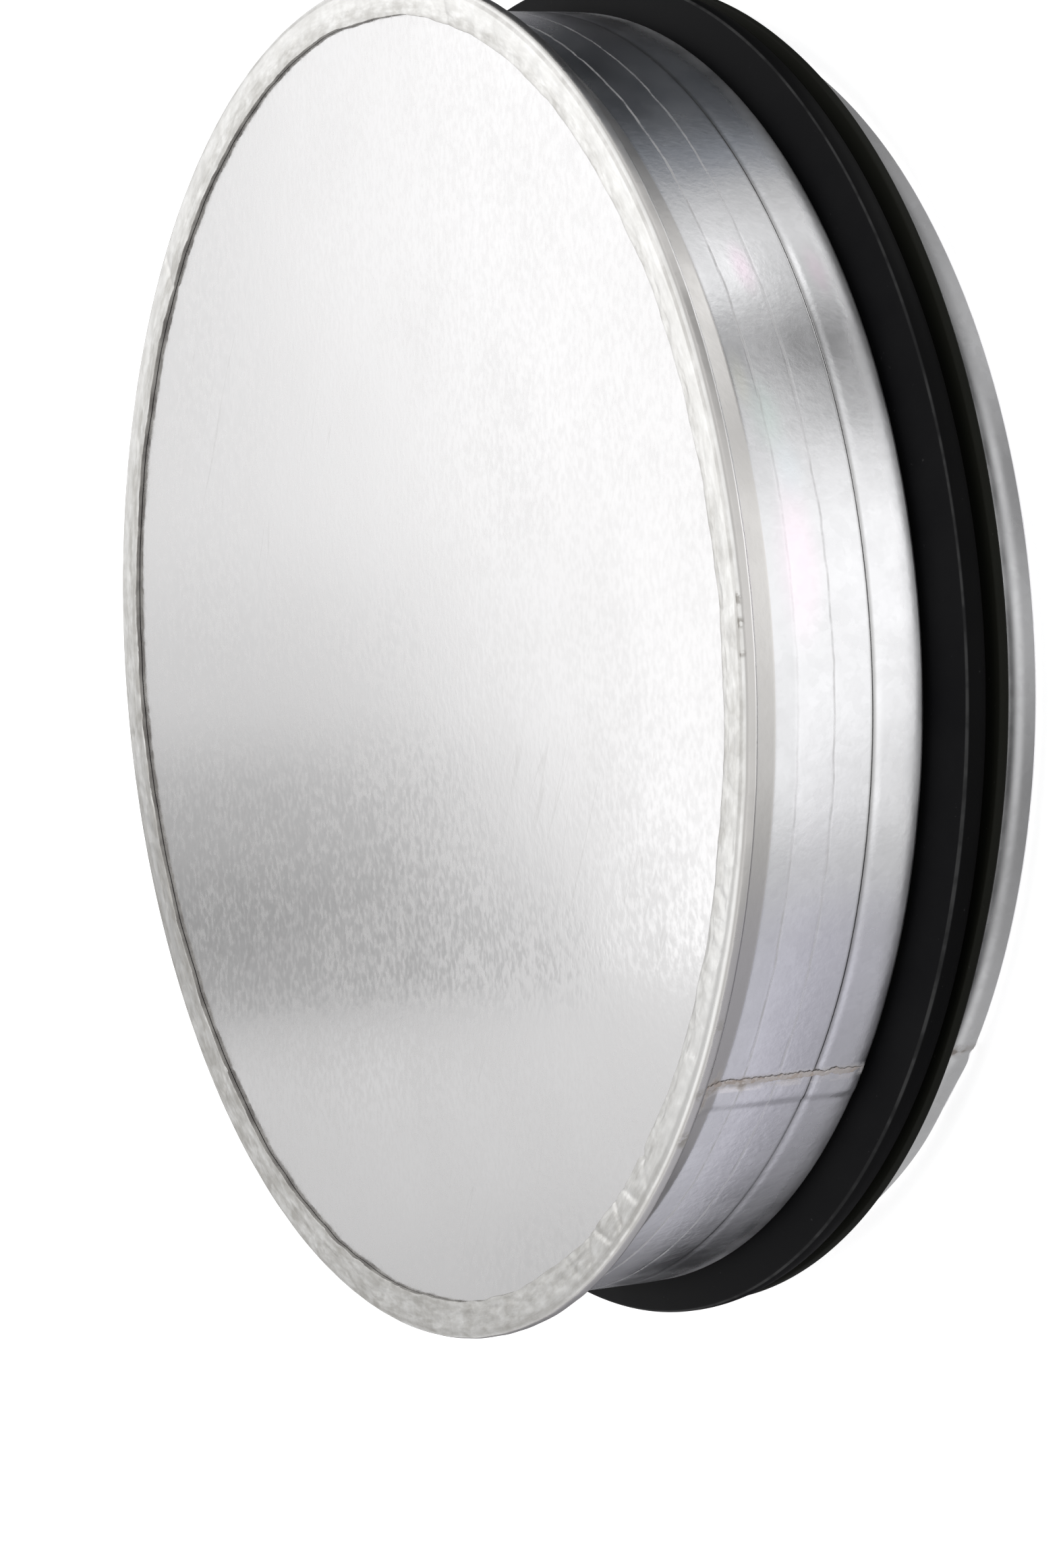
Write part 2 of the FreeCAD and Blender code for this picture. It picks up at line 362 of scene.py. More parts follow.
class EffectLibrary:
    """Builds each shared effect once."""

    def __init__(self) -> None:
        """Builds every group."""
        makers = {
            Effect.FLECK: self.fleck,
            Effect.SPANGLE: self.spangle,
            Effect.PATCH: self.patch,
            Effect.GRIME: self.grime,
            Effect.SCRATCH: self.scratch,
        }
        self.groups = {effect: make().tree for effect, make in makers.items()}

    def fleck(self) -> Group:
        """Short dashes along the vector's X, as rolled and zinc-coated sheet has.

        Returns:
            The group.
        """
        group = Group(Effect.FLECK, {"Scale": 1000.0, "Length": 3.0}, ["Mask"])
        scale = group.given["Scale"]
        along = group.math("DIVIDE", scale, group.given["Length"])
        spread = group.vectors("MULTIPLY", group.given["Vector"], group.combined(along, scale, scale))
        fine = group.noise(spread, 1.0, 2.0, 0.55)
        coarse = group.noise(spread, 0.33, 1.0, 0.5)
        both = group.total(group.product(fine, 0.84), group.product(coarse, 0.16))
        group.join(group.between(both, 0.34, 0.66), group.out["Mask"])
        return group

    def spangle(self) -> Group:
        """Crystal patches of the zinc coat, and the soft clouds over them.

        Returns:
            The group.
        """
        group = Group(Effect.SPANGLE, {"Scale": 250.0, "Cloud": 45.0}, ["Cell", "Cloud"])
        vector, scale = group.given["Vector"], group.given["Scale"]
        bends = group.add("ShaderNodeTexNoise", {"Vector": vector, "Scale": group.product(scale, 0.7)})
        shift = group.vectors("MULTIPLY", bends.outputs[1], (0.002, 0.002, 0.002))
        feeds = {"Vector": group.vectors("ADD", vector, shift), "Scale": scale, "Smoothness": 0.35}
        cells = group.add("ShaderNodeTexVoronoi", feeds, feature="SMOOTH_F1")
        grey = group.add("ShaderNodeSeparateColor", {0: cells.outputs["Color"]}).outputs[0]
        group.join(grey, group.out["Cell"])
        cloud = group.noise(vector, group.given["Cloud"], 4.0, 0.6)
        group.join(group.between(cloud, 0.32, 0.68), group.out["Cloud"])
        return group

    def patch(self) -> Group:
        """A soft round patch at an azimuth in degrees, with its height and half height in metres.

        Returns:
            The group.
        """
        inputs = {"Azimuth": 0.0, "Height": 0.0, "Wide": 10.0, "Tall": 0.003, "Edge": 0.8}
        group = Group(Effect.PATCH, inputs, ["Mask"])
        east, north, up = group.axes(group.given["Vector"])
        turn = group.math("ARCTAN2", north, east)
        gap = group.math("SUBTRACT", turn, group.math("RADIANS", group.given["Azimuth"]))
        chord = group.product(group.math("SINE", group.product(gap, 0.5)), 2.0)
        across = group.math("DIVIDE", chord, group.math("RADIANS", group.given["Wide"]))
        along = group.math("DIVIDE", group.math("SUBTRACT", up, group.given["Height"]), group.given["Tall"])
        inner = group.math("SUBTRACT", 1.0, group.given["Edge"])
        mask = group.between(group.length(across, along), inner, 1.0, 1.0, 0.0)
        group.join(mask, group.out["Mask"])
        return group

    def grime(self) -> Group:
        """Uneven spots: the more, the greater the amount.

        Returns:
            The group.
        """
        group = Group(Effect.GRIME, {"Scale": 400.0, "Amount": 0.3}, ["Mask"])
        spots = group.noise(group.given["Vector"], group.given["Scale"], 3.0, 0.62)
        gate = group.math("SUBTRACT", 0.72, group.product(group.given["Amount"], 0.35))
        lifted = group.math("DIVIDE", group.math("SUBTRACT", spots, gate), 0.07)
        group.join(group.between(lifted, 0.0, 1.0), group.out["Mask"])
        return group

    def scratch(self) -> Group:
        """Long hair-thin marks along the vector's X, broken here and there.

        Returns:
            The group.
        """
        group = Group(Effect.SCRATCH, {"Across": 260.0, "Along": 16.0}, ["Mask"])
        vector = group.given["Vector"]
        stretch = group.combined(group.given["Along"], group.given["Across"], 1.0)
        lines = group.noise(group.vectors("MULTIPLY", vector, stretch), 1.0, 1.0, 0.4)
        thin = group.between(group.away(lines, 0.5), 0.0, 0.006, 1.0, 0.0)
        breaks = group.between(group.noise(vector, 38.0, 2.0, 0.5), 0.54, 0.62)
        group.join(group.product(thin, breaks), group.out["Mask"])
        return group


@dataclass(frozen=True)
class Patch:
    """A soft round patch of a coat.

    Attributes:
        azimuth: Where its middle is, in degrees.
        height: The height of its middle.
        wide: Half its width, in degrees.
        tall: Half its height.
        edge: How much of it is soft edge, from 0 to 1.
        share: How strong it is, from 0 to 1.
        colour: Its colour, where it has its own.
    """

    azimuth: float
    height: float
    wide: float
    tall: float
    edge: float
    share: float = 1.0
    colour: Colour = (1.0, 1.0, 1.0)


class Coat(Nodes):
    """The nodes of one finish: its shader, the place on the piece, and the shared effects put on it."""

    def __init__(self, name: str, effects: EffectLibrary) -> None:
        """Makes the material.

        Args:
            name: The material's name.
            effects: The shared effects.
        """
        self.material = bpy.data.materials.new(name)
        self.material.use_nodes = True
        super().__init__(self.material.node_tree)
        self.shader = next(node for node in self.tree.nodes if node.type == "BSDF_PRINCIPLED")
        self.groups = effects.groups
        self.place = self.add("ShaderNodeTexCoord").outputs["Object"]

    def effect(self, effect: Effect, **values: Feed) -> Sockets:
        """Places an effect at the point's own place, unless another vector is given.

        Args:
            effect: Which effect.
            values: What goes into its inputs, by name.

        Returns:
            The outputs of the placed group.
        """
        feeds = {"Vector": self.place, **values}
        return self.add("ShaderNodeGroup", feeds, node_tree=self.groups[effect]).outputs

    def patch(self, patch: Patch) -> Feed:
        """How much of a patch there is at the point.

        Args:
            patch: The patch.

        Returns:
            The share, up to the patch's own.
        """
        mask = self.effect(
            Effect.PATCH,
            Azimuth=patch.azimuth,
            Height=patch.height * MM,
            Wide=patch.wide,
            Tall=patch.tall * MM,
            Edge=patch.edge,
        )["Mask"]
        return mask if patch.share == 1.0 else self.product(mask, patch.share)

    def grain(self, grain: Grain) -> Socket:
        """A noise over the piece, from its scale, its detail and its roughness."""
        return self.noise(self.place, *grain)

    def distance(self, spot: Place) -> Socket:
        """How far the point is from a spot given in millimetres, in metres."""
        feeds = {0: self.place, 1: tuple(part * MM for part in spot)}
        return self.add("ShaderNodeVectorMath", feeds, operation="DISTANCE").outputs["Value"]

    def surface(self, feeds: dict[str, Feed]) -> bpy.types.Material:
        """Feeds the shader.

        Args:
            feeds: What goes into its inputs, by name.

        Returns:
            The finished material.
        """
        for label, value in feeds.items():
            self.join(value, self.shader.inputs[label])
        return self.material


class Finish(ABC):
    """What a piece's surface is like."""

    @abstractmethod
    def build(self, effects: EffectLibrary) -> bpy.types.Material:
        """Builds the material from the shared effects."""


@dataclass(frozen=True)
class DiscFinish(Finish):
    """Zinc-coated flat sheet, semi-matte, with the flecks of its rolling along one way.

    Attributes:
        clean_at: The spot round which the flecks are faint.
        clean_reach: Over which distance from it they grow to the full.
        reflection_speckle_at: The spot round which they are darkest, a painted reflection speckle on the real
            flecks.
        reflection_speckle_reach: Over which distance from it they grow lighter.
        rolling: Which way they run, in degrees.
        scratching: Which way the scratches run.
        fleck_scale: How fine the flecks are, in cells a metre.
    """

    colour: Colour = (0.845, 0.838, 0.842)
    fleck_colour: Colour = (0.66, 0.648, 0.642)
    scratch_colour: Colour = (0.60, 0.59, 0.58)
    clean_at: Place = (24.0, -51.0, 41.5)
    clean_reach: Span = (20.0, 42.0)
    reflection_speckle_at: Place = (-34.0, 4.0, 41.5)
    reflection_speckle_reach: Span = (15.0, 48.0)
    roughness: float = 0.085
    rolling: float = 37.0
    scratching: float = 8.0
    fleck_scale: float = 1150.0

    def build(self, effects: EffectLibrary) -> bpy.types.Material:
        """Builds the disc's material.

        Args:
            effects: The shared effects.

        Returns:
            The material.
        """
        coat = Coat("disc_zinc", effects)
        rolled = coat.turned(coat.place, -self.rolling)
        fleck = coat.effect(Effect.FLECK, Vector=rolled, Scale=self.fleck_scale, Length=1.35)["Mask"]
        fleck = coat.product(fleck, coat.across(coat.distance(self.clean_at), self.clean_reach, 0.7, 1.0))
        mottle = coat.effect(Effect.SPANGLE, Scale=260.0, Cloud=48.0)
        scratch = coat.effect(Effect.SCRATCH, Vector=coat.turned(coat.place, -self.scratching))["Mask"]
        # Painted reflection: the flecks are darker round one spot, as the face's reflection there is
        # speckled.
        worn = coat.across(coat.distance(self.reflection_speckle_at), self.reflection_speckle_reach, 0.32, 0.12)
        dull = coat.total(coat.product(fleck, worn), coat.product(mottle["Cloud"], 0.12))
        base = coat.mix(dull, self.colour, self.fleck_colour)
        base = coat.mix(coat.product(scratch, 0.25), base, self.scratch_colour)
        rough = coat.total(coat.product(mottle["Cloud"], 0.05), self.roughness, coat.product(fleck, 0.18))
        relief = coat.bump(fleck, 0.20, 0.02)
        relief = coat.bump(mottle["Cell"], 0.06, 0.05, relief)
        return coat.surface({"Base Color": base, "Metallic": 1.0, "Roughness": rough, "Normal": relief})


@dataclass(frozen=True)
class LineDirt:
    """The chalky oxide in a scribed line.

    Attributes:
        height: The line's height.
        share: How much oxide there is.
        loss: How much of that is worn off at the front.
    """

    height: float
    share: float
    loss: float


@dataclass(frozen=True)
class WallFinish(Finish):
    """The rolled collar: satin zinc with cloudy crystals, faint tints and a brown seam, with painted shade
    where it tucks in behind the seal and a painted highlight beside the weld.

    Attributes:
        upper: Between which heights the sheet grows duller towards the shoulder.
        flare: Where the flared shoulder's own colour starts.
        tuck_shade: Where the wall is painted darker, as painted shade where it tucks in behind the seal.
        open_end: Where that ends, above the open end's ring.
        matte_end: Where the wall grows rougher towards where it tucks in behind the seal.
        calm_end: Where its relief fades out there.
        line_spread: How far from a scribed line its oxide reaches.
        line_sway: How far that oxide strays.
        line_worn: Where it is worn off.
        groove: The height of the groove's dull line.
        groove_spread: How far from there it reaches.
        groove_climb: How much it climbs beyond the seam.
        climbed: Where it has climbed.
        lap_highlight: The strip beside the weld where a painted highlight lies, in streaks.
    """

    colour: Colour = (0.81, 0.81, 0.825)
    dull_colour: Colour = (0.68, 0.68, 0.69)
    upper_colour: Colour = (0.56, 0.565, 0.575)
    flare_colour: Colour = (0.62, 0.60, 0.575)
    oxide: Colour = (0.31, 0.275, 0.255)
    lap_highlight_colour: Colour = (0.93, 0.90, 0.89)
    line_colour: Colour = (0.33, 0.325, 0.32)
    groove_colour: Colour = (0.27, 0.265, 0.26)
    tuck_shade_colour: Colour = (0.03, 0.03, 0.033)
    roughness: float = 0.19
    upper: Span = (32.6, 33.4)
    flare: Span = (35.55, 35.75)
    tuck_shade: Span = (15.6, 16.9)
    open_end: Span = (9.0, 12.0)
    matte_end: Span = (19.6, 17.0)
    calm_end: Span = (16.6, 17.6)
    lap_highlight_grain: Grain = (420.0, 3.0, 0.6)
    stain_grain: Grain = (330.0, 3.0, 0.6)
    sway_grain: Grain = (210.0, 2.0, 0.5)
    dot_grain: Grain = (620.0, 3.0, 0.6)
    fine_grain: Grain = (900.0, 2.0, 0.5)
    lines: tuple[LineDirt, ...] = (LineDirt(FINE_LINE, 0.56, 0.75), LineDirt(DASHED_LINE, 0.40, 0.0))
    line_spread: Span = (0.04, 0.22)
    line_sway: float = 0.6
    line_worn: Patch = Patch(VIEW_AZIMUTH, 30.0, 26.0, 100.0, 0.8)
    groove: float = 22.98
    groove_spread: Span = (0.10, 0.56)
    groove_climb: float = 0.8
    climbed: Patch = Patch(-112.0, 23.0, 34.0, 1000.0, 0.94)
    lap_highlight: Patch = Patch(-90.75, 28.0, 0.42, 60.0, 0.6)
    tints: tuple[Patch, ...] = (
        Patch(-20.0, 29.5, 3.6, 2.0, 0.95, 0.5, (0.93, 0.74, 0.86)),
        Patch(-20.5, 20.0, 3.4, 1.8, 0.95, 0.4, (0.93, 0.76, 0.87)),
        Patch(-45.5, 31.6, 8.5, 3.8, 0.95, 0.5, (0.95, 0.77, 0.88)),
        Patch(-30.5, 34.6, 3.5, 1.6, 0.95, 0.4, (0.90, 0.90, 0.74)),
        Patch(-33.5, 32.5, 4.5, 3.0, 0.95, 0.55, (0.72, 0.83, 0.79)),
        Patch(-38.0, 31.0, 3.6, 2.6, 0.95, 0.35, (0.78, 0.86, 0.90)),
        Patch(-88.0, 29.0, 34.0, 14.0, 0.95, 0.3, (0.66, 0.64, 0.74)),
    )
    stains: tuple[Patch, ...] = (
        Patch(-90.1, 28.0, 0.85, 60.0, 0.8, 0.60),
        Patch(-90.6, 32.6, 1.4, 0.8, 0.8, 0.6),
        Patch(-89.5, 37.2, 2.0, 2.0, 0.8, 0.95),
        Patch(-91.7, 38.1, 1.5, 1.6, 0.8, 0.95),
        Patch(-90.4, 23.0, 1.4, 0.7, 0.8, 0.6),
        Patch(-90.5, 3.0, 0.7, 1.9, 0.8, 0.9),
    )

    def build(self, effects: EffectLibrary) -> bpy.types.Material:
        """Builds the wall's material.

        Args:
            effects: The shared effects.

        Returns:
            The material.
        """
        coat = Coat("collar_zinc", effects)
        height = coat.axes(coat.place)[2]
        spangle = coat.effect(Effect.SPANGLE, Scale=900.0, Cloud=110.0)
        flare = coat.across(height, self.flare)
        line = self.line_dirt(coat, height)
        stain = self.stained(coat)
        above = coat.across(height, self.open_end)
        base = self.sheet(coat, height, spangle)
        base = coat.mix(coat.product(flare, 0.75), base, self.flare_colour)
        base = coat.mix(line, base, self.line_colour)
        base = coat.mix(self.groove_dirt(coat, height), base, self.groove_colour)
        # Painted highlight: light streaks on the strip beside the weld.
        rubbed = coat.between(coat.grain(self.lap_highlight_grain), 0.40, 0.56)
        base = coat.mix(coat.product(coat.patch(self.lap_highlight), rubbed, 0.6), base, self.lap_highlight_colour)
        base = coat.mix(stain, base, self.oxide)
        # Painted shade: the wall's colour goes near black where it tucks in behind the seal.
        tuck_shade = coat.product(coat.across(height, self.tuck_shade, 0.9, 0.0), above)
        base = coat.mix(tuck_shade, base, self.tuck_shade_colour)
        matte = coat.total(coat.product(stain, 0.8), coat.product(line, 0.8), clamp=True)
        rough = coat.total(
            coat.product(spangle["Cloud"], 0.09),
            self.roughness,
            coat.product(flare, 0.10),
            coat.product(coat.across(height, self.matte_end, 0.0, 0.12), above),
            coat.product(matte, 0.35),
        )
        calm = coat.product(coat.across(height, self.calm_end), 0.22)
        relief = coat.bump(coat.effect(Effect.FLECK, Scale=1500.0, Length=1.0)["Mask"], calm, 0.02)
        relief = coat.bump(coat.grain(self.fine_grain), calm, 0.08, relief)
        return coat.surface(
            {"Base Color": base, "Metallic": coat.rest(matte), "Roughness": rough, "Normal": relief}
        )

    def sheet(self, coat: Coat, height: Socket, spangle: Sockets) -> Socket:
        """The colour of the clean sheet, with its clouds, its tints and its duller upper edge.

        Args:
            coat: The nodes of the finish.
            height: The point's height in metres.
            spangle: The crystals and clouds of the coat.

        Returns:
            The colour.
        """
        dull = coat.product(coat.total(spangle["Cell"], spangle["Cloud"]), 0.34)
        base = coat.mix(dull, self.colour, self.dull_colour)
        for tint in self.tints:
            base = coat.mix(coat.patch(tint), base, tint.colour)
        return coat.mix(coat.across(height, self.upper, 0.0, 0.32), base, self.upper_colour)

    def groove_dirt(self, coat: Coat, height: Socket) -> Feed:
        """The dull line along the rolled groove, which climbs and fades beyond the seam.

        Args:
            coat: The nodes of the finish.
            height: The point's height in metres.

        Returns:
            How much of it there is.
        """
        climbed = coat.patch(self.climbed)
        level = coat.math("SUBTRACT", height, coat.product(climbed, self.groove_climb * MM))
        share = coat.across(coat.away(level, self.groove * MM), self.groove_spread, 0.62, 0.0)
        return coat.product(share, coat.rest(climbed, 0.55))

    def line_dirt(self, coat: Coat, height: Socket) -> Socket:
        """The chalky oxide in the two scribed lines, broken into dots and dashes.

        Args:
            coat: The nodes of the finish.
            height: The point's height in metres.

        Returns:
            How much of it there is.
        """
        sway = coat.math("SUBTRACT", coat.grain(self.sway_grain), 0.5)
        level = coat.total(height, coat.product(sway, self.line_sway * MM))
        dots = coat.between(coat.grain(self.dot_grain), 0.30, 0.66, 0.35, 1.0)
        worn = coat.patch(self.line_worn)
        shares = []
        for line in self.lines:
            share = coat.across(coat.away(level, line.height * MM), self.line_spread, line.share, 0.0)
            shares.append(coat.product(share, coat.rest(worn, line.loss)))
        return coat.math("MULTIPLY", coat.total(*shares), dots, clamp=True)

    def stained(self, coat: Coat) -> Socket:
        """The burnt oxide beside the weld, where it crosses the groove and at the shoulder.

        Args:
            coat: The nodes of the finish.

        Returns:
            How much of it there is.
        """
        worn = coat.between(coat.grain(self.stain_grain), 0.40, 0.58)
        spots = coat.total(*(coat.patch(stain) for stain in self.stains))
        return coat.math("MULTIPLY", spots, worn, clamp=True)


@dataclass(frozen=True)
class RimFinish(Finish):
    """The folded edge: the coat crazed and drawn into streaks by the press, with dirt here and there, and
    painted shade on its rolled side, its bend and its crease.

    Attributes:
        clean: The side where the coat is least crazed, the less the further out.
        bright: The side where it is smoother.
        rubbed: Where a band of it is rubbed bright.
        lit: Where the rolled side is lighter.
        shade: Where it is darker.
        side: The heights over which the rolled side starts, which is painted darker as shade.
        bend: The band along its bend that is painted darker, as painted shade.
        crease: The crease beside the rolled side, painted darker as shade.
        raw_edge: Where the dirt along the raw edge starts.
        fine_streaks: How fine the fine streaks are, in cells a radian round the rim and a metre across it.
        broad_streaks: The same for the broad ones.
        far_azimuth: The side where the broad streaks are strongest.
        far_from: Over which distance towards it they grow.
    """

    colour: Colour = (0.93, 0.925, 0.912)
    crazed_colour: Colour = (0.54, 0.527, 0.50)
    side_shade_colour: Colour = (0.66, 0.645, 0.63)
    lit_colour: Colour = (0.86, 0.85, 0.84)
    shade_colour: Colour = (0.54, 0.525, 0.51)
    bend_shade_colour: Colour = (0.50, 0.488, 0.475)
    dirt_and_shade_colour: Colour = (0.25, 0.235, 0.215)
    roughness: float = 0.26
    clean: Patch = Patch(-82.0, RIM_TOP, 25.0, 100.0, 0.8)
    clean_reach: Span = (79.8, 81.6)
    bright: Patch = Patch(36.0, RIM_TOP, 108.0, 100.0, 0.5)
    bright_reach: Span = (80.0, 81.2)
    rubbed: Patch = Patch(147.0, RIM_TOP, 24.0, 100.0, 0.9)
    rubbed_band: Span = (80.5, 81.0)
    lit: Patch = Patch(-37.0, RIM_TOP, 36.0, 100.0, 0.7)
    shade: Patch = Patch(-95.0, RIM_TOP, 22.0, 100.0, 0.8)
    side: Span = (41.9, 41.5)
    bend: Span = (40.68, 41.6)
    bend_shade_from: Span = (82.9, 83.1)
    top_from: Span = (41.55, 41.65)
    crease: Span = (82.66, 82.94)
    raw_edge: Span = (79.5, 79.0)
    spots_from: Span = (82.75, 82.95)
    spot_grain: Grain = (900.0, 2.0, 0.6)
    relief_grain: Grain = (700.0, 3.0, 0.6)
    fine_streaks: tuple[float, float] = (46.0, 2000.0)
    broad_streaks: tuple[float, float] = (17.0, 760.0)
    far_azimuth: float = 128.6
    far_from: Span = (-50.0, 70.0)
    spots: tuple[Patch, ...] = (
        Patch(-48.4, 41.85, 0.7, 0.5, 0.7, 0.8),
        Patch(-50.2, 41.85, 0.6, 0.5, 0.7, 0.8),
        Patch(-52.5, 41.85, 0.4, 0.5, 0.7, 0.6),
        Patch(-88.3, 40.9, 0.8, 0.9, 0.7, 0.7),
        Patch(-93.0, 40.9, 1.2, 1.0, 0.7, 0.9),
        Patch(-82.0, 40.9, 1.2, 0.7, 0.7, 0.5),
    )

    def build(self, effects: EffectLibrary) -> bpy.types.Material:
        """Builds the rim's material.

        Args:
            effects: The shared effects.

        Returns:
            The material.
        """
        coat = Coat("rim_zinc", effects)
        east, north, height = coat.axes(coat.place)
        out = coat.length(east, north)
        cloud = coat.effect(Effect.SPANGLE, Scale=520.0, Cloud=230.0)
        clean = coat.patch(self.clean)
        crazed = coat.product(
            self.crazing(coat, east, north, out, cloud),
            coat.rest(clean, coat.across(out, self.clean_reach, 0.3, 0.75)),
            coat.rest(coat.patch(self.bright), coat.across(out, self.bright_reach, 0.12, 0.48)),
            coat.rest(coat.patch(self.rubbed), coat.band(out, self.rubbed_band, 0.5), 0.8),
        )
        base = coat.mix(crazed, self.colour, self.crazed_colour)
        # Painted shade: the rolled side is painted darker, lighter where lit and darker where shaded.
        side = coat.mix(coat.patch(self.lit), self.side_shade_colour, self.lit_colour)
        side = coat.mix(coat.patch(self.shade), side, self.shade_colour)
        base = coat.mix(coat.across(height, self.side), base, side)
        # Painted shade: a darker band along the rolled side's lower bend.
        bend = coat.product(coat.band(height, self.bend, 0.2), coat.across(out, self.bend_shade_from))
        base = coat.mix(bend, base, self.bend_shade_colour)
        dirt = self.dirt(coat, height, out, cloud["Cloud"], clean)
        base = coat.mix(dirt, base, self.dirt_and_shade_colour)
        rough = coat.total(coat.product(crazed, 0.16), self.roughness)
        relief = coat.bump(coat.grain(self.relief_grain), 0.35, 0.06)
        relief = coat.bump(cloud["Cell"], 0.3, 0.05, relief)
        return coat.surface(
            {"Base Color": base, "Metallic": coat.rest(dirt, 0.7), "Roughness": rough, "Normal": relief}
        )

    def dirt(self, coat: Coat, height: Socket, out: Socket, cloud: Socket, clean: Feed) -> Feed:
        """Painted shade in the crease beside the rolled edge, and dirt along the raw edge and in a few spots.

        Args:
            coat: The nodes of the finish.
            height: The point's height in metres.
            out: Its distance from the axis in metres.
            cloud: The clouds of the coat.
            clean: How clean the rim is.

        Returns:
            How much of it there is.
        """
        # Painted shade: the crease beside the rolled side is darkened, broken up by the clouds of the coat.
        crease = coat.product(coat.band(out, self.crease, 0.16), coat.across(height, self.top_from))
        crease = coat.product(crease, coat.between(cloud, 0.0, 1.0, 0.20, 0.42), coat.rest(clean, 0.8))
        raw = coat.product(coat.across(out, self.raw_edge), 0.20)
        worn = coat.between(coat.grain(self.spot_grain), 0.38, 0.52)
        edge = coat.across(out, self.spots_from)
        spots = (coat.product(coat.patch(spot), edge, worn) for spot in self.spots)
        return coat.total(crease, raw, *spots, clamp=True)

    def crazing(self, coat: Coat, east: Socket, north: Socket, out: Socket, cloud: Sockets) -> Socket:
        """Crystals of the coat, drawn out round the rim, the more the further round from the open front.

        Args:
            coat: The nodes of the finish.
            east: The point's X in metres.
            north: Its Y.
            out: Its distance from the axis.
            cloud: The crystals and clouds of the coat.

        Returns:
            How dull the coat is.
        """
        streaks = []
        for round_rim, across_rim in (self.fine_streaks, self.broad_streaks):
            spot = coat.combined(
                coat.product(coat.math("DIVIDE", east, out), round_rim),
                coat.product(coat.math("DIVIDE", north, out), round_rim),
                coat.product(out, across_rim),
            )
            streaks.append(coat.between(coat.noise(spot, 1.0, 3.0, 0.6), 0.36, 0.62))
        fine, broad = streaks
        way = placed(self.far_azimuth, 1.0)
        beyond = coat.math("ADD", coat.product(east, way.x), coat.product(north, way.y))
        far = coat.across(beyond, self.far_from, 0.5, 1.0)
        cells = coat.total(coat.product(cloud["Cloud"], 0.26), coat.product(cloud["Cell"], 0.28))
        drawn = coat.total(coat.product(fine, 0.24), coat.product(broad, far, 0.48))
        return coat.math("ADD", cells, drawn, clamp=True)


@dataclass(frozen=True)
class CutFinish(Finish):
    """The sheared edge of the sheet, where the steel shows grey without its coat."""

    colour: Colour = (0.20, 0.19, 0.18)
    worn_colour: Colour = (0.36, 0.35, 0.33)
    metallic: float = 0.6
    roughness: float = 0.55
    grain: Grain = (1600.0, 2.0, 0.5)

    def build(self, effects: EffectLibrary) -> bpy.types.Material:
        """Builds the cut edge's material.

        Args:
            effects: The shared effects.

        Returns:
            The material.
        """
        coat = Coat("cut_steel", effects)
        worn = coat.effect(Effect.SPANGLE, Scale=900.0, Cloud=260.0)["Cloud"]
        base = coat.mix(worn, self.colour, self.worn_colour)
        relief = coat.bump(coat.grain(self.grain), 0.4, 0.05)
        return coat.surface(
            {"Base Color": base, "Metallic": self.metallic, "Roughness": self.roughness, "Normal": relief}
        )


@dataclass(frozen=True)
class RubberFinish(Finish):
    """Black moulded rubber, satin, with dust caught in it and a painted highlight along the front lip's
    crest.

    Attributes:
        side: The heights over which the front lip's outside starts, which is painted darker as shade.
        rear_lip: The heights over which the rear lip's colour starts.
        crest: The band of the front lip's crest, by its distance from the axis, where a highlight is painted.
        crest_from: The heights above which the crest lies.
    """

    colour: Colour = (0.0045, 0.0045, 0.0052)
    cloud_colour: Colour = (0.0070, 0.0070, 0.0076)
    side_shade_colour: Colour = (0.0016, 0.0016, 0.0018)
    lip_colour: Colour = (0.0085, 0.0088, 0.0068)
    dust_and_highlight_colour: Colour = (0.09, 0.09, 0.09)
    side: Span = (13.3, 13.1)
    rear_lip: Span = (10.2, 9.2)
    crest: Span = (83.4, 83.9)
    crest_from: Span = (13.2, 13.32)
    crest_highlight_grain: Grain = (190.0, 3.0, 0.6)
    relief_grain: Grain = (1300.0, 2.0, 0.5)
    roughness: float = 0.58
    gloss: float = 0.06

    def build(self, effects: EffectLibrary) -> bpy.types.Material:
        """Builds the seal's material.

        Args:
            effects: The shared effects.

        Returns:
            The material.
        """
        coat = Coat("seal_rubber_black", effects)
        east, north, height = coat.axes(coat.place)
        cloud = coat.effect(Effect.SPANGLE, Scale=300.0, Cloud=55.0)["Cloud"]
        dust = coat.effect(Effect.GRIME, Scale=1500.0, Amount=0.06)["Mask"]
        base = coat.mix(cloud, self.colour, self.cloud_colour)
        # Painted shade: the front lip's outside, below its crest, is painted darker.
        base = coat.mix(coat.across(height, self.side), base, self.side_shade_colour)
        base = coat.mix(coat.across(height, self.rear_lip), base, self.lip_colour)
        base = coat.mix(coat.product(dust, 0.22), base, self.dust_and_highlight_colour)
        # Painted highlight: a light line along the front lip's crest, in the colour of the dust.
        crest = coat.product(
            coat.band(coat.length(east, north), self.crest, 0.08),
            coat.across(height, self.crest_from),
            coat.between(coat.grain(self.crest_highlight_grain), 0.36, 0.60, 0.10, 0.34),
        )
        base = coat.mix(crest, base, self.dust_and_highlight_colour)
        rough = coat.total(coat.product(cloud, 0.10), self.roughness)
        relief = coat.bump(coat.grain(self.relief_grain), 0.12, 0.03)
        return coat.surface(
            {"Base Color": base, "Roughness": rough, "Specular IOR Level": self.gloss, "Normal": relief}
        )


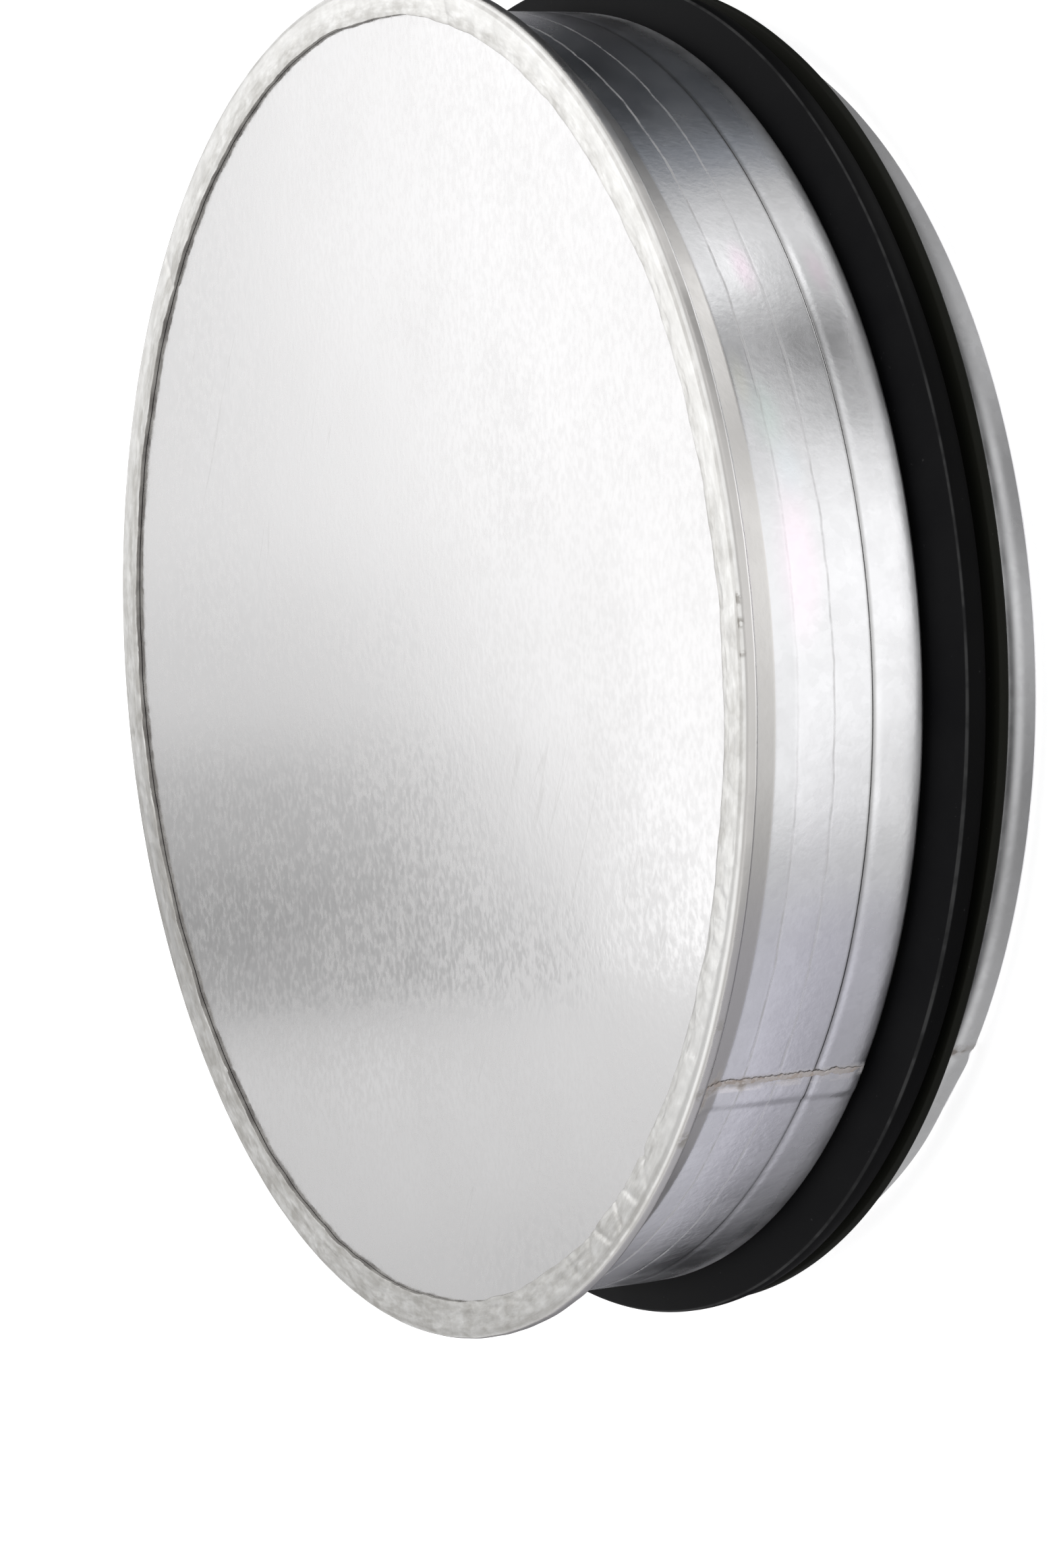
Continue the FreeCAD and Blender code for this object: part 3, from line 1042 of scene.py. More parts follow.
@dataclass(frozen=True)
class WeldFinish(Finish):
    """The burnt bead of the lap seam."""

    colour: Colour = (0.54, 0.505, 0.485)
    burnt_colour: Colour = (0.37, 0.32, 0.295)
    roughness: float = 0.5
    grain: Grain = (1500.0, 3.0, 0.6)

    def build(self, effects: EffectLibrary) -> bpy.types.Material:
        """Builds the bead's material.

        Args:
            effects: The shared effects.

        Returns:
            The material.
        """
        coat = Coat("weld_oxide", effects)
        burnt = coat.effect(Effect.GRIME, Scale=900.0, Amount=0.6)["Mask"]
        base = coat.mix(burnt, self.colour, self.burnt_colour)
        metallic = coat.between(burnt, 0.0, 1.0, 0.75, 0.15)
        rough = coat.total(coat.product(burnt, 0.25), self.roughness)
        relief = coat.bump(coat.grain(self.grain), 0.3, 0.1)
        return coat.surface({"Base Color": base, "Metallic": metallic, "Roughness": rough, "Normal": relief})


@dataclass(frozen=True)
class Corner:
    """A corner of a half section, in millimetres, with the size of the bend that rounds it."""

    radius: float
    height: float
    bend: float = 0.0

    def point(self) -> Vector:
        """The corner's place in the plane of X and Z, in metres."""
        return Vector((self.radius * MM, 0.0, self.height * MM))


@dataclass
class Ring(ABC):
    """A piece made by turning a half section about the axis.

    Attributes:
        name: The piece's name.
        steps: How many faces one turn has, a multiple of 32.
        spacing: The longest side that the outline keeps undivided, in millimetres.
        crease: The angle in degrees past which an edge stays sharp.
        doublings: How often a sector is doubled to make the turn.
        most_cuts: How often the longest side may be cut.
    """

    doublings: ClassVar[int] = 5
    most_cuts: ClassVar[int] = 29

    name: str
    steps: int
    spacing: float
    crease: float

    @abstractmethod
    def outline(self) -> list[Corner]:
        """The corners of the half section, in order."""

    def shape(self, azimuth: float, radius: float, height: float) -> tuple[float, float]:
        """Gives a point's radius and height, which a ring that isn't perfectly even changes."""
        return radius, height

    def wire(self, mesh: bmesh.types.BMesh) -> None:
        """Lays the half section in the plane of X and Z, with its corners rounded and its sides divided.

        Args:
            mesh: An empty mesh, which gets the outline.
        """
        corners = self.outline()
        verts = [mesh.verts.new(corner.point()) for corner in corners]
        for vert, following in zip(verts, verts[1:] + verts[:1]):
            mesh.edges.new((vert, following))
        for bend in sorted({corner.bend for corner in corners if corner.bend > 0.0}):
            spots = [corner.point() for corner in corners if corner.bend == bend]
            rounded = [vert for vert in mesh.verts if any((vert.co - spot).length < 1e-8 for spot in spots)]
            bmesh.ops.bevel(
                mesh,
                geom=rounded,
                offset=bend * MM,
                offset_type="OFFSET",
                segments=3 if bend < 0.5 else 5,
                profile=0.5,
                affect="VERTICES",
                material=-1,
            )
        for cuts in range(1, self.most_cuts + 1):
            low, high = self.spacing * cuts * MM, self.spacing * (cuts + 1) * MM
            sides = [edge for edge in mesh.edges if low < edge.calc_length() <= high]
            if sides:
                bmesh.ops.subdivide_edges(mesh, edges=sides, cuts=cuts)

    def build(self, finish: bpy.types.Material) -> bpy.types.Object:
        """Turns the outline, shapes what it makes and dresses it.

        Args:
            finish: The piece's material.

        Returns:
            The piece, with its place in its mesh.
        """
        mesh = bmesh.new()
        self.wire(mesh)
        sector = math.tau / 2**self.doublings
        bmesh.ops.spin(
            mesh,
            geom=mesh.verts[:] + mesh.edges[:],
            cent=(0.0, 0.0, 0.0),
            axis=(0.0, 0.0, 1.0),
            angle=sector,
            steps=self.steps >> self.doublings,
        )
        for index in range(self.doublings):
            twin = bmesh.ops.duplicate(mesh, geom=mesh.verts[:] + mesh.edges[:] + mesh.faces[:])["geom"]
            verts = [item for item in twin if isinstance(item, bmesh.types.BMVert)]
            bmesh.ops.rotate(mesh, verts=verts, matrix=Matrix.Rotation(sector * 2**index, 3, "Z"))
        bmesh.ops.remove_doubles(mesh, verts=mesh.verts, dist=1e-6)
        for vert in mesh.verts:
            azimuth = math.degrees(math.atan2(vert.co.y, vert.co.x))
            radius = math.hypot(vert.co.x, vert.co.y) / MM
            vert.co = placed(azimuth, *self.shape(azimuth, radius, vert.co.z / MM)) * MM
        return finished(mesh, self.name, self.crease, finish)


@dataclass
class RimFold(Ring):
    """The strip's front edge: flanged outward, folded back over the end disc and pressed flat.

    The raw edge is wavy and a little off centre, the fold is creased where it was drawn in, and beside the
    seam it puckers.

    Attributes:
        creases: Where each crease is, in degrees, and how far it slants, in degrees a millimetre.
        pucker_slants: How far each fold of the pucker slants, in degrees a millimetre.
    """

    name: str = "rim_fold"
    steps: int = 1440
    spacing: float = 0.5
    crease: float = 50.0
    raw_radius: float = 78.75
    raw_offset: float = 0.45
    far_reach: float = 0.4
    far_azimuth: float = 144.0
    edge_radius: float = 83.5
    flange_radius: float = 81.0
    inner_radius: float = 80.6
    disc_edge: float = 82.7
    back: float = 40.0
    disc_bottom: float = 40.7
    disc_top: float = 41.5
    top: float = 42.2
    pucker_azimuth: float = -106.0
    pucker_wide: float = 8.0
    pucker_slants: tuple[float, ...] = (0.5, -0.35, 0.6, -0.2, 0.45, -0.5)
    pucker_start: float = -8.0
    pucker_gap: float = 3.1
    pucker_depth: float = 0.20
    pucker_pull: float = 0.06
    notch_azimuth: float = -97.6
    notch_reach: float = 0.45
    notch_depth: float = 0.10
    streak_depth: float = 0.15
    wave_height: float = 0.05
    dent_depth: float = 0.035
    edge_dent: float = 0.035
    creases: tuple[tuple[float, float], ...] = (
        (134.0, 0.5),
        (86.0, -0.4),
        (173.0, 0.5),
        (-151.0, -0.5),
        (21.0, 0.4),
    )
    crease_depth: float = 0.15

    def outline(self) -> list[Corner]:
        """The half section, from the flange's inside round the disc's edge to its back.

        Returns:
            Its corners.
        """
        return [
            Corner(self.inner_radius, self.disc_bottom),
            Corner(self.disc_edge, self.disc_bottom),
            Corner(self.disc_edge, self.disc_top),
            Corner(81.2, self.disc_top),
            Corner(self.raw_radius + 0.05, self.disc_top + 0.06),
            Corner(self.raw_radius, self.disc_top + 0.62, 0.12),
            Corner(80.2, self.top - 0.05, 0.3),
            Corner(82.45, self.top - 0.03, 0.35),
            Corner(83.3, 41.84, 0.25),
            Corner(self.edge_radius, 41.35, 0.2),
            Corner(self.edge_radius, self.back + 0.45, 0.2),
            Corner(self.edge_radius - 0.4, self.back + 0.02, 0.15),
            Corner(self.flange_radius, self.back),
        ]

    def raw_wave(self, azimuth: float) -> float:
        """How far the raw edge strays outward.

        Args:
            azimuth: Where on the turn.

        Returns:
            The distance in millimetres.
        """
        wave = 0.17 * ripple(azimuth, 60.0, 3.1) + 0.08 * ripple(azimuth, 170.0, 7.7)
        wave += self.raw_offset * math.cos(math.radians(azimuth - VIEW_AZIMUTH))
        return wave - self.far_reach * bell(turned(azimuth, self.far_azimuth), 32.0)

    def folds(self, azimuth: float, radius: float) -> float:
        """How deep the folds of the pucker and the creases are.

        Args:
            azimuth: Where on the turn.
            radius: The distance from the axis.

        Returns:
            The depth in millimetres.
        """
        out = radius - self.flange_radius
        offset = turned(azimuth, self.pucker_azimuth)
        depth = 0.0
        for index, slant in enumerate(self.pucker_slants):
            line = self.pucker_start + self.pucker_gap * index + slant * out
            depth += self.pucker_depth * bell(offset, self.pucker_wide) * bell(offset - line, 0.34)
        for place, slant in self.creases:
            depth += self.crease_depth * bell(turned(azimuth, place) - slant * out, 0.30)
        return depth

    def shape(self, azimuth: float, radius: float, height: float) -> tuple[float, float]:
        """Makes the pressed fold uneven, and leaves what lies under the disc as it is.

        Args:
            azimuth: The point's azimuth.
            radius: Its distance from the axis.
            height: Its height.

        Returns:
            Its new radius and height.
        """
        if height < self.disc_top + 0.02 and radius < self.edge_radius - 0.5:
            return radius, height
        spot = placed(azimuth, radius)
        hem = smooth(82.7, 81.9, radius) * smooth(self.disc_top + 0.1, self.disc_top + 0.3, height)
        raw = smooth(80.6, 79.2, radius)
        radius += raw * self.raw_wave(azimuth)
        stretched = Vector((azimuth * 0.33, radius * 0.75, 0.0))
        streak = noise.noise(stretched) + 0.5 * noise.noise(stretched * 2.3 + Vector((7.0, 0.0, 0.0)))
        seamless = smooth(0.0, 4.0, 180.0 - abs(azimuth))
        height -= hem * self.streak_depth * abs(streak) * seamless
        height += hem * self.wave_height * ripple(azimuth, 80.0, 5.0) * (0.4 + raw)
        height -= hem * self.dent_depth * abs(noise.noise(spot * 1.1 + Vector((0.0, 0.0, 4.0))))
        height -= hem * self.folds(azimuth, radius)
        notch = bell(turned(azimuth, self.notch_azimuth), 0.5)
        radius += raw * self.notch_reach * notch
        height -= hem * raw * self.notch_depth * notch
        pull = self.pucker_pull * bell(turned(azimuth, self.pucker_azimuth), self.pucker_wide)
        pull += self.edge_dent * (1.0 + ripple(azimuth, 130.0, 9.0))
        radius -= smooth(82.9, 83.3, radius) * pull
        return min(radius, self.edge_radius), min(height, self.top - 0.01)

    def bare_edge(self, piece: bpy.types.Object, cut: bpy.types.Material) -> None:
        """Shows bare steel on the sheared edge of the sheet.

        Args:
            piece: The built fold.
            cut: The bare steel.
        """
        piece.data.materials.append(cut)
        for face in piece.data.polygons:
            outward = face.normal.xy.dot(face.center.xy.normalized())
            if outward < -0.7 and face.center.z > self.disc_top * MM and face.center.xy.length < 80.2 * MM:
                face.material_index = 1


@dataclass(frozen=True)
class Scribe:
    """A line scribed round the wall, which sways and is worn away here and there.

    Attributes:
        height: Its height.
        half: Half its width.
        worn_waves: About how many worn places one turn has.
        worn_seed: Which ripple they follow.
        worn_from: Below which level of the ripple the line is worn away.
        sway: How far the line sways up and down.
        sway_waves: About how often it does so in one turn.
        sway_seed: Which ripple it follows.
    """

    height: float
    half: float
    worn_waves: float
    worn_seed: float
    worn_from: float
    sway: float
    sway_waves: float
    sway_seed: float


@dataclass
class CollarWall(Ring):
    """The rolled wall: flared shoulder, two scribed lines, rolled groove, taper and the open end's fold."""

    name: str = "collar_wall"
    steps: int = 960
    spacing: float = 6.0
    crease: float = 35.0
    radius: float = 79.5
    sheet: float = 0.7
    flare_top: float = 40.0
    flare_bottom: float = 35.7
    flare_radius: float = 81.0
    scribes: tuple[Scribe, ...] = (
        Scribe(FINE_LINE, 0.17, 60.0, 2.0, -0.4, 0.10, 26.0, 8.0),
        Scribe(DASHED_LINE, 0.22, 90.0, 6.0, -0.3, 0.09, 34.0, 4.0),
    )
    scribe_depth: float = 0.022
    groove: float = 23.0
    groove_depth: float = 0.12
    climb: float = 0.8
    climb_azimuth: float = -112.0
    taper_top: float = 18.6
    turn_radius: float = 79.38
    turn_height: float = 16.4
    taper_bottom: float = 15.5
    end_radius: float = 77.0
    fold_radius: float = 78.3
    fold_height: float = 5.4
    seam_lap: float = 2.6
    seam_rise: float = 0.17
    roll: float = 0.020
    fine_roll: float = 0.005
    sway: float = 0.012
    shrink: float = 0.03
    fold_dent: float = 0.34
    fold_dip: float = 0.42
    fold_shrink: float = 0.06
    fold_roll: float = 0.04

    def outer(self, height: float) -> float:
        """The wall's outside radius.

        Args:
            height: Where on the wall.

        Returns:
            The radius.
        """
        if height > self.flare_bottom:
            share = (height - self.flare_bottom) / (self.flare_top - self.flare_bottom)
            return self.radius + share * (self.flare_radius - self.radius)
        if height > self.turn_height:
            share = min(1.0, (height - self.turn_height) / (self.taper_top - self.turn_height))
            return self.turn_radius + share * (self.radius - self.turn_radius)
        share = max(0.0, (height - self.taper_bottom) / (self.turn_height - self.taper_bottom))
        return self.end_radius + share * (self.turn_radius - self.end_radius)

    def notched(self, line: Scribe) -> list[Corner]:
        """The corners of a scribed line, with the flat wall held straight on both sides of it.

        Args:
            line: The line.

        Returns:
            Its corners, from the top down.
        """
        return [
            Corner(self.radius, line.height + line.half + 0.14),
            Corner(self.radius, line.height + line.half),
            Corner(self.radius - self.scribe_depth, line.height),
            Corner(self.radius, line.height - line.half),
            Corner(self.radius, line.height - line.half - 0.14),
        ]

    def outline(self) -> list[Corner]:
        """The half section, down the outside, round the open end's fold and up the inside.

        Returns:
            Its corners.
        """
        inner = self.radius - self.sheet
        inner_end = self.end_radius - self.sheet
        foot = self.fold_radius - self.sheet
        return [
            Corner(self.flare_radius, self.flare_top),
            Corner(self.radius, self.flare_bottom, 0.25),
            Corner(self.radius, self.flare_bottom - 0.5),
            *(corner for line in self.scribes for corner in self.notched(line)),
            Corner(self.radius, self.groove + 0.55),
            Corner(self.radius, self.groove + 0.22, 0.08),
            Corner(self.radius - self.groove_depth, self.groove - 0.05, 0.08),
            Corner(self.radius, self.groove - 1.05, 0.30),
            Corner(self.radius, self.groove - 1.5),
            Corner(self.radius, self.taper_top + 1.0),
            Corner(self.radius, self.taper_top, 0.8),
            Corner(self.turn_radius, self.turn_height, 0.3),
            Corner(self.end_radius, self.taper_bottom, 0.4),
            Corner(self.end_radius, 1.0),
            Corner(foot, 1.0),
            Corner(foot, self.fold_height, 0.1),
            Corner(self.fold_radius, self.fold_height, 0.15),
            Corner(self.fold_radius, 0.0, 1.1),
            Corner(inner_end, 0.0, 0.9),
            Corner(inner_end, self.taper_bottom + 0.45, 0.6),
            Corner(inner - 0.1, self.turn_height + 0.6, 0.5),
            Corner(inner, self.groove + 0.7),
            Corner(inner - self.groove_depth, self.groove, 0.2),
            Corner(inner, self.groove - 0.7),
            Corner(inner, self.flare_bottom + 0.1, 0.3),
            Corner(80.2, 40.2, 0.2),
            Corner(80.6, 40.7),
        ]

    def seam_edge(self, height: float) -> float:
        """Where the lap's ragged upper edge is.

        Args:
            height: Where on the wall.

        Returns:
            Its azimuth in degrees.
        """
        coarse = noise.noise(Vector((3.0, 1.0, height * 0.8)))
        return SEAM_AZIMUTH + 0.22 * (coarse + 0.5 * noise.noise(Vector((9.0, 2.0, height * 2.4))))

    def lap(self, azimuth: float, height: float) -> float:
        """How much of the lap's rise a point has.

        Args:
            azimuth: The point's azimuth.
            height: Its height.

        Returns:
            The share.
        """
        start = turned(azimuth, self.seam_edge(height))
        face = 0.45 + 0.55 * smooth(-0.2, -self.seam_lap, start)
        return face * smooth(0.12, -0.12, start) * smooth(-self.seam_lap - 0.30, -self.seam_lap, start)

    def outside(self, azimuth: float, radius: float, height: float) -> tuple[float, float]:
        """Wears the scribed lines, lets the groove climb beyond the seam and raises the lap.

        Args:
            azimuth: The azimuth of a point of the outside.
            radius: Its distance from the axis.
            height: Its height.

        Returns:
            Its new radius and height.
        """
        level = height
        for line in self.scribes:
            if abs(level - line.height) < 0.05 and radius < self.radius - 0.02:
                kept = smooth(line.worn_from, 0.3, ripple(azimuth, line.worn_waves, line.worn_seed))
                radius += self.scribe_depth * (1.0 - kept)
            sway = line.sway * ripple(azimuth, line.sway_waves, line.sway_seed)
            height += sway * bell(level - line.height, 0.6)
        climbed = smooth(34.0, 2.0, abs(turned(azimuth, self.climb_azimuth)))
        if abs(level - self.groove) < 1.2:
            radius += 0.45 * climbed * max(0.0, self.radius - radius)
        near = smooth(self.groove + 3.6, self.groove + 0.6, level)
        near *= smooth(self.groove - 4.0, self.groove - 1.4, level)
        height += self.climb * climbed * near
        radius += self.seam_rise * self.lap(azimuth, level) * smooth(16.0, 16.6, level)
        return radius, height

    def shape(self, azimuth: float, radius: float, height: float) -> tuple[float, float]:
        """Rolls the wall a little uneven, and presses the open end's fold down at the seam.

        Args:
            azimuth: The point's azimuth.
            radius: Its distance from the axis.
            height: Its height.

        Returns:
            Its new radius and height.
        """
        if height > self.taper_bottom - 1.0 and radius > self.outer(height) - 0.55:
            radius, height = self.outside(azimuth, radius, height)
        roll = self.roll * ripple(azimuth, 7.0, 1.5) + self.fine_roll * ripple(azimuth, 22.0, 5.5)
        roll += self.sway * noise.noise(placed(azimuth, 3.0, height * 0.09)) - self.shrink
        radius += roll * smooth(40.0, 37.0, height) * smooth(14.0, 18.0, height)
        if height < self.fold_height + 0.3 and radius > self.end_radius + 0.3:
            dent = self.fold_dent * bell(turned(azimuth, SEAM_AZIMUTH - 1.0), 0.5)
            radius -= dent * smooth(6.0, 4.0, height)
            radius -= self.fold_dip * bell(turned(azimuth, SEAM_AZIMUTH - 6.5), 4.5)
            radius -= self.fold_shrink + self.fold_roll * ripple(azimuth, 24.0, 2.0)
        return radius, max(0.0, height)


@dataclass
class SeamWeld:
    """The rough bead that was burnt along the upper edge of the collar's lap.

    Attributes:
        wall: The wall that it lies on.
        top: The height of its upper end.
        bottom: The height of its lower end.
        half_width: Half its width.
        offset: How far its middle lies outside the wall.
        proud: How far it stands out from there.
        sides: How many sides its section has.
        spacing: How far apart its sections are.
    """

    wall: CollarWall
    top: float = 39.7
    bottom: float = 16.7
    half_width: float = 0.46
    offset: float = 0.07
    proud: float = 0.055
    sides: int = 10
    spacing: float = 0.16

    def build(self, finish: bpy.types.Material) -> bpy.types.Object:
        """Builds the bead along the wall's outside and dresses it.

        Args:
            finish: The burnt oxide.

        Returns:
            The piece.
        """
        length = self.top - self.bottom
        mesh = bmesh.new()
        bmesh.ops.create_cone(
            mesh,
            cap_ends=True,
            segments=self.sides,
            radius1=1.0,
            radius2=1.0,
            depth=length,
            matrix=Matrix.Translation((0.0, 0.0, (self.top + self.bottom) / 2.0)),
        )
        sides = [edge for edge in mesh.edges if abs(edge.verts[0].co.z - edge.verts[1].co.z) > length / 2.0]
        bmesh.ops.subdivide_edges(mesh, edges=sides, cuts=int(length / self.spacing))
        for vert in mesh.verts:
            vert.co = self.placed_on_wall(*vert.co) * MM
        return finished(mesh, "seam_weld", 60.0, finish)

    def placed_on_wall(self, across: float, lift: float, height: float) -> Vector:
        """Takes a point of a straight rod of radius 1 to the lumpy bead.

        Args:
            across: The point's place across the bead.
            lift: Its place away from the wall.
            height: Its height.

        Returns:
            Its place on the cap.
        """
        size = 0.65 + 0.75 * abs(noise.noise(Vector((5.0, 5.0, height * 1.1))))
        ends = smooth(self.bottom, self.bottom + 1.4, height) * smooth(self.top, self.top - 0.6, height)
        size *= ends + 0.05
        size *= 1.0 + 0.5 * noise.noise(Vector((across * 1.4, lift * 1.4, height * 2.7)))
        radius = self.wall.outer(height) + self.offset + lift * self.proud * size
        away = math.degrees(across * self.half_width * size / radius)
        return placed(self.wall.seam_edge(height) + away, radius, height)


@dataclass
class EndDisc(Ring):
    """The flat blank that closes the cap, held in the rim's fold and sunk a hair in its middle."""

    name: str = "disc_face"
    steps: int = 288
    spacing: float = 2.5
    crease: float = 40.0
    radius: float = 82.5
    bottom: float = 40.7
    top: float = 41.5
    sunk: float = 0.03

    def outline(self) -> list[Corner]:
        """The half section, from the axis round the disc's edge and back.

        Returns:
            Its corners.
        """
        return [
            Corner(0.0, self.bottom),
            Corner(self.radius, self.bottom),
            Corner(self.radius, self.top),
            Corner(0.0, self.top - self.sunk),
        ]


@dataclass
class LipSeal(Ring):
    """The moulded ring: foot in the open end's fold, base on the wall, and two lips."""

    name: str = "seal_ring"
    steps: int = 576
    spacing: float = 1.2
    crease: float = 38.0
    seat: float = 77.05
    foot: float = 77.55
    fold_radius: float = 78.3
    foot_bottom: float = 1.35
    fold_height: float = 5.45
    front: float = 15.2
    front_lip: float = 83.7
    rear_lip: float = 82.9
    base: float = 79.4
    base_height: float = 9.2
    low_side: float = 0.0
    low_sag: float = 0.62
    high_side: float = -82.0
    high_lift: float = 0.42
    sag: float = 0.10
    stray: float = 0.06
    wave: float = 0.07

    def outline(self) -> list[Corner]:
        """The half section, from the foot round both lips to the front face.

        Returns:
            Its corners.
        """
        return [
            Corner(self.seat, self.foot_bottom),
            Corner(self.foot, self.foot_bottom),
            Corner(self.foot, self.fold_height),
            Corner(self.fold_radius, self.fold_height, 0.1),
            Corner(79.2, 5.9, 0.6),
            Corner(self.rear_lip - 0.3, 7.35, 0.2),
            Corner(self.rear_lip, 7.75, 0.15),
            Corner(self.rear_lip, 8.75, 0.2),
            Corner(self.base + 1.3, 8.95, 0.3),
            Corner(self.base, 9.3, 0.2),
            Corner(self.base, 9.9, 0.2),
            Corner(self.front_lip - 0.55, 10.6, 0.4),
            Corner(self.front_lip, 12.0, 0.5),
            Corner(self.front_lip - 0.02, 13.25, 0.2),
            Corner(self.front_lip - 0.35, 13.62, 0.15),
            Corner(80.3, 14.75, 1.2),
            Corner(self.seat + 0.5, self.front, 0.25),
            Corner(self.seat, self.front - 0.2),
        ]

    def shape(self, azimuth: float, radius: float, height: float) -> tuple[float, float]:
        """Lets the soft lips stray a little from a true circle, the rear lip lower at one side.

        Args:
            azimuth: The point's azimuth.
            radius: Its distance from the axis.
            height: Its height.

        Returns:
            Its new radius and height.
        """
        lip = smooth(80.0, 83.0, radius)
        if height < self.base_height:
            offset = turned(azimuth, self.low_side)
            low = smooth(-48.0, 0.0, offset) * smooth(78.0, 40.0, offset)
            high = bell(turned(azimuth, self.high_side), 14.0)
            height -= lip * (self.sag + self.low_sag * low - self.high_lift * high)
        radius -= lip * self.stray * (1.0 + ripple(azimuth, 9.0, 4.0))
        height += lip * self.wave * ripple(azimuth, 14.0, 6.0)
        return radius, height


@dataclass(frozen=True)
class Stop:
    """A level of light at a place along a card, with its tint."""

    at: float
    level: float
    tint: Colour = (1.0, 1.0, 1.0)


COOL = (0.975, 0.97, 1.04)
SLATE = (0.92, 0.98, 1.08)


class Glow(Nodes):
    """The nodes of a material that only gives light."""

    def __init__(self, name: str) -> None:
        """Makes the material, with its emission shader.

        Args:
            name: The material's name.
        """
        self.material = bpy.data.materials.new(name)
        self.material.use_nodes = True
        self.material.node_tree.nodes.clear()
        super().__init__(self.material.node_tree)
        self.shader = self.add("ShaderNodeEmission")
        self.add("ShaderNodeOutputMaterial", {"Surface": self.shader.outputs[0]})
        self.place = self.add("ShaderNodeTexCoord").outputs["Object"]

    def ramp(self, share: Socket, stops: Sequence[Stop], ends: Span = (0.0, 1.0)) -> Socket:
        """A colour ramp of light.

        Args:
            share: Where along the ramp.
            stops: The levels, in order.
            ends: Where the ramp starts and ends.

        Returns:
            The ramp's colour.
        """
        low, high = ends
        feeds = {"Value": share, "From Min": low, "From Max": high}
        along = self.add("ShaderNodeMapRange", feeds).outputs["Result"]
        node = self.add("ShaderNodeValToRGB", {"Fac": along})
        marks = node.color_ramp.elements
        while len(marks) < len(stops):
            marks.new(1.0)
        for mark, stop in zip(marks, stops):
            mark.position = (stop.at - low) / (high - low)
            mark.color = (*(stop.level * part for part in stop.tint), 1.0)
        node.color_ramp.interpolation = "EASE"
        return node.outputs[0]


class Card(ABC):
    """A glowing card that shows only in what is glossy."""

    name: str

    @abstractmethod
    def mesh(self) -> bmesh.types.BMesh:
        """Makes the card's mesh, in its place."""

    @abstractmethod
    def light(self, glow: Glow) -> Socket:
        """Works out the card's light."""

    def build(self) -> None:
        """Makes the card and lets only glossy rays meet it."""
        glow = Glow(self.name)
        glow.join(self.light(glow), glow.shader.inputs["Color"])
        card = finished(self.mesh(), self.name, 30.0, glow.material)
        card.visible_camera = False
        card.visible_diffuse = False
        card.visible_transmission = False
        card.visible_volume_scatter = False
        card.visible_shadow = False


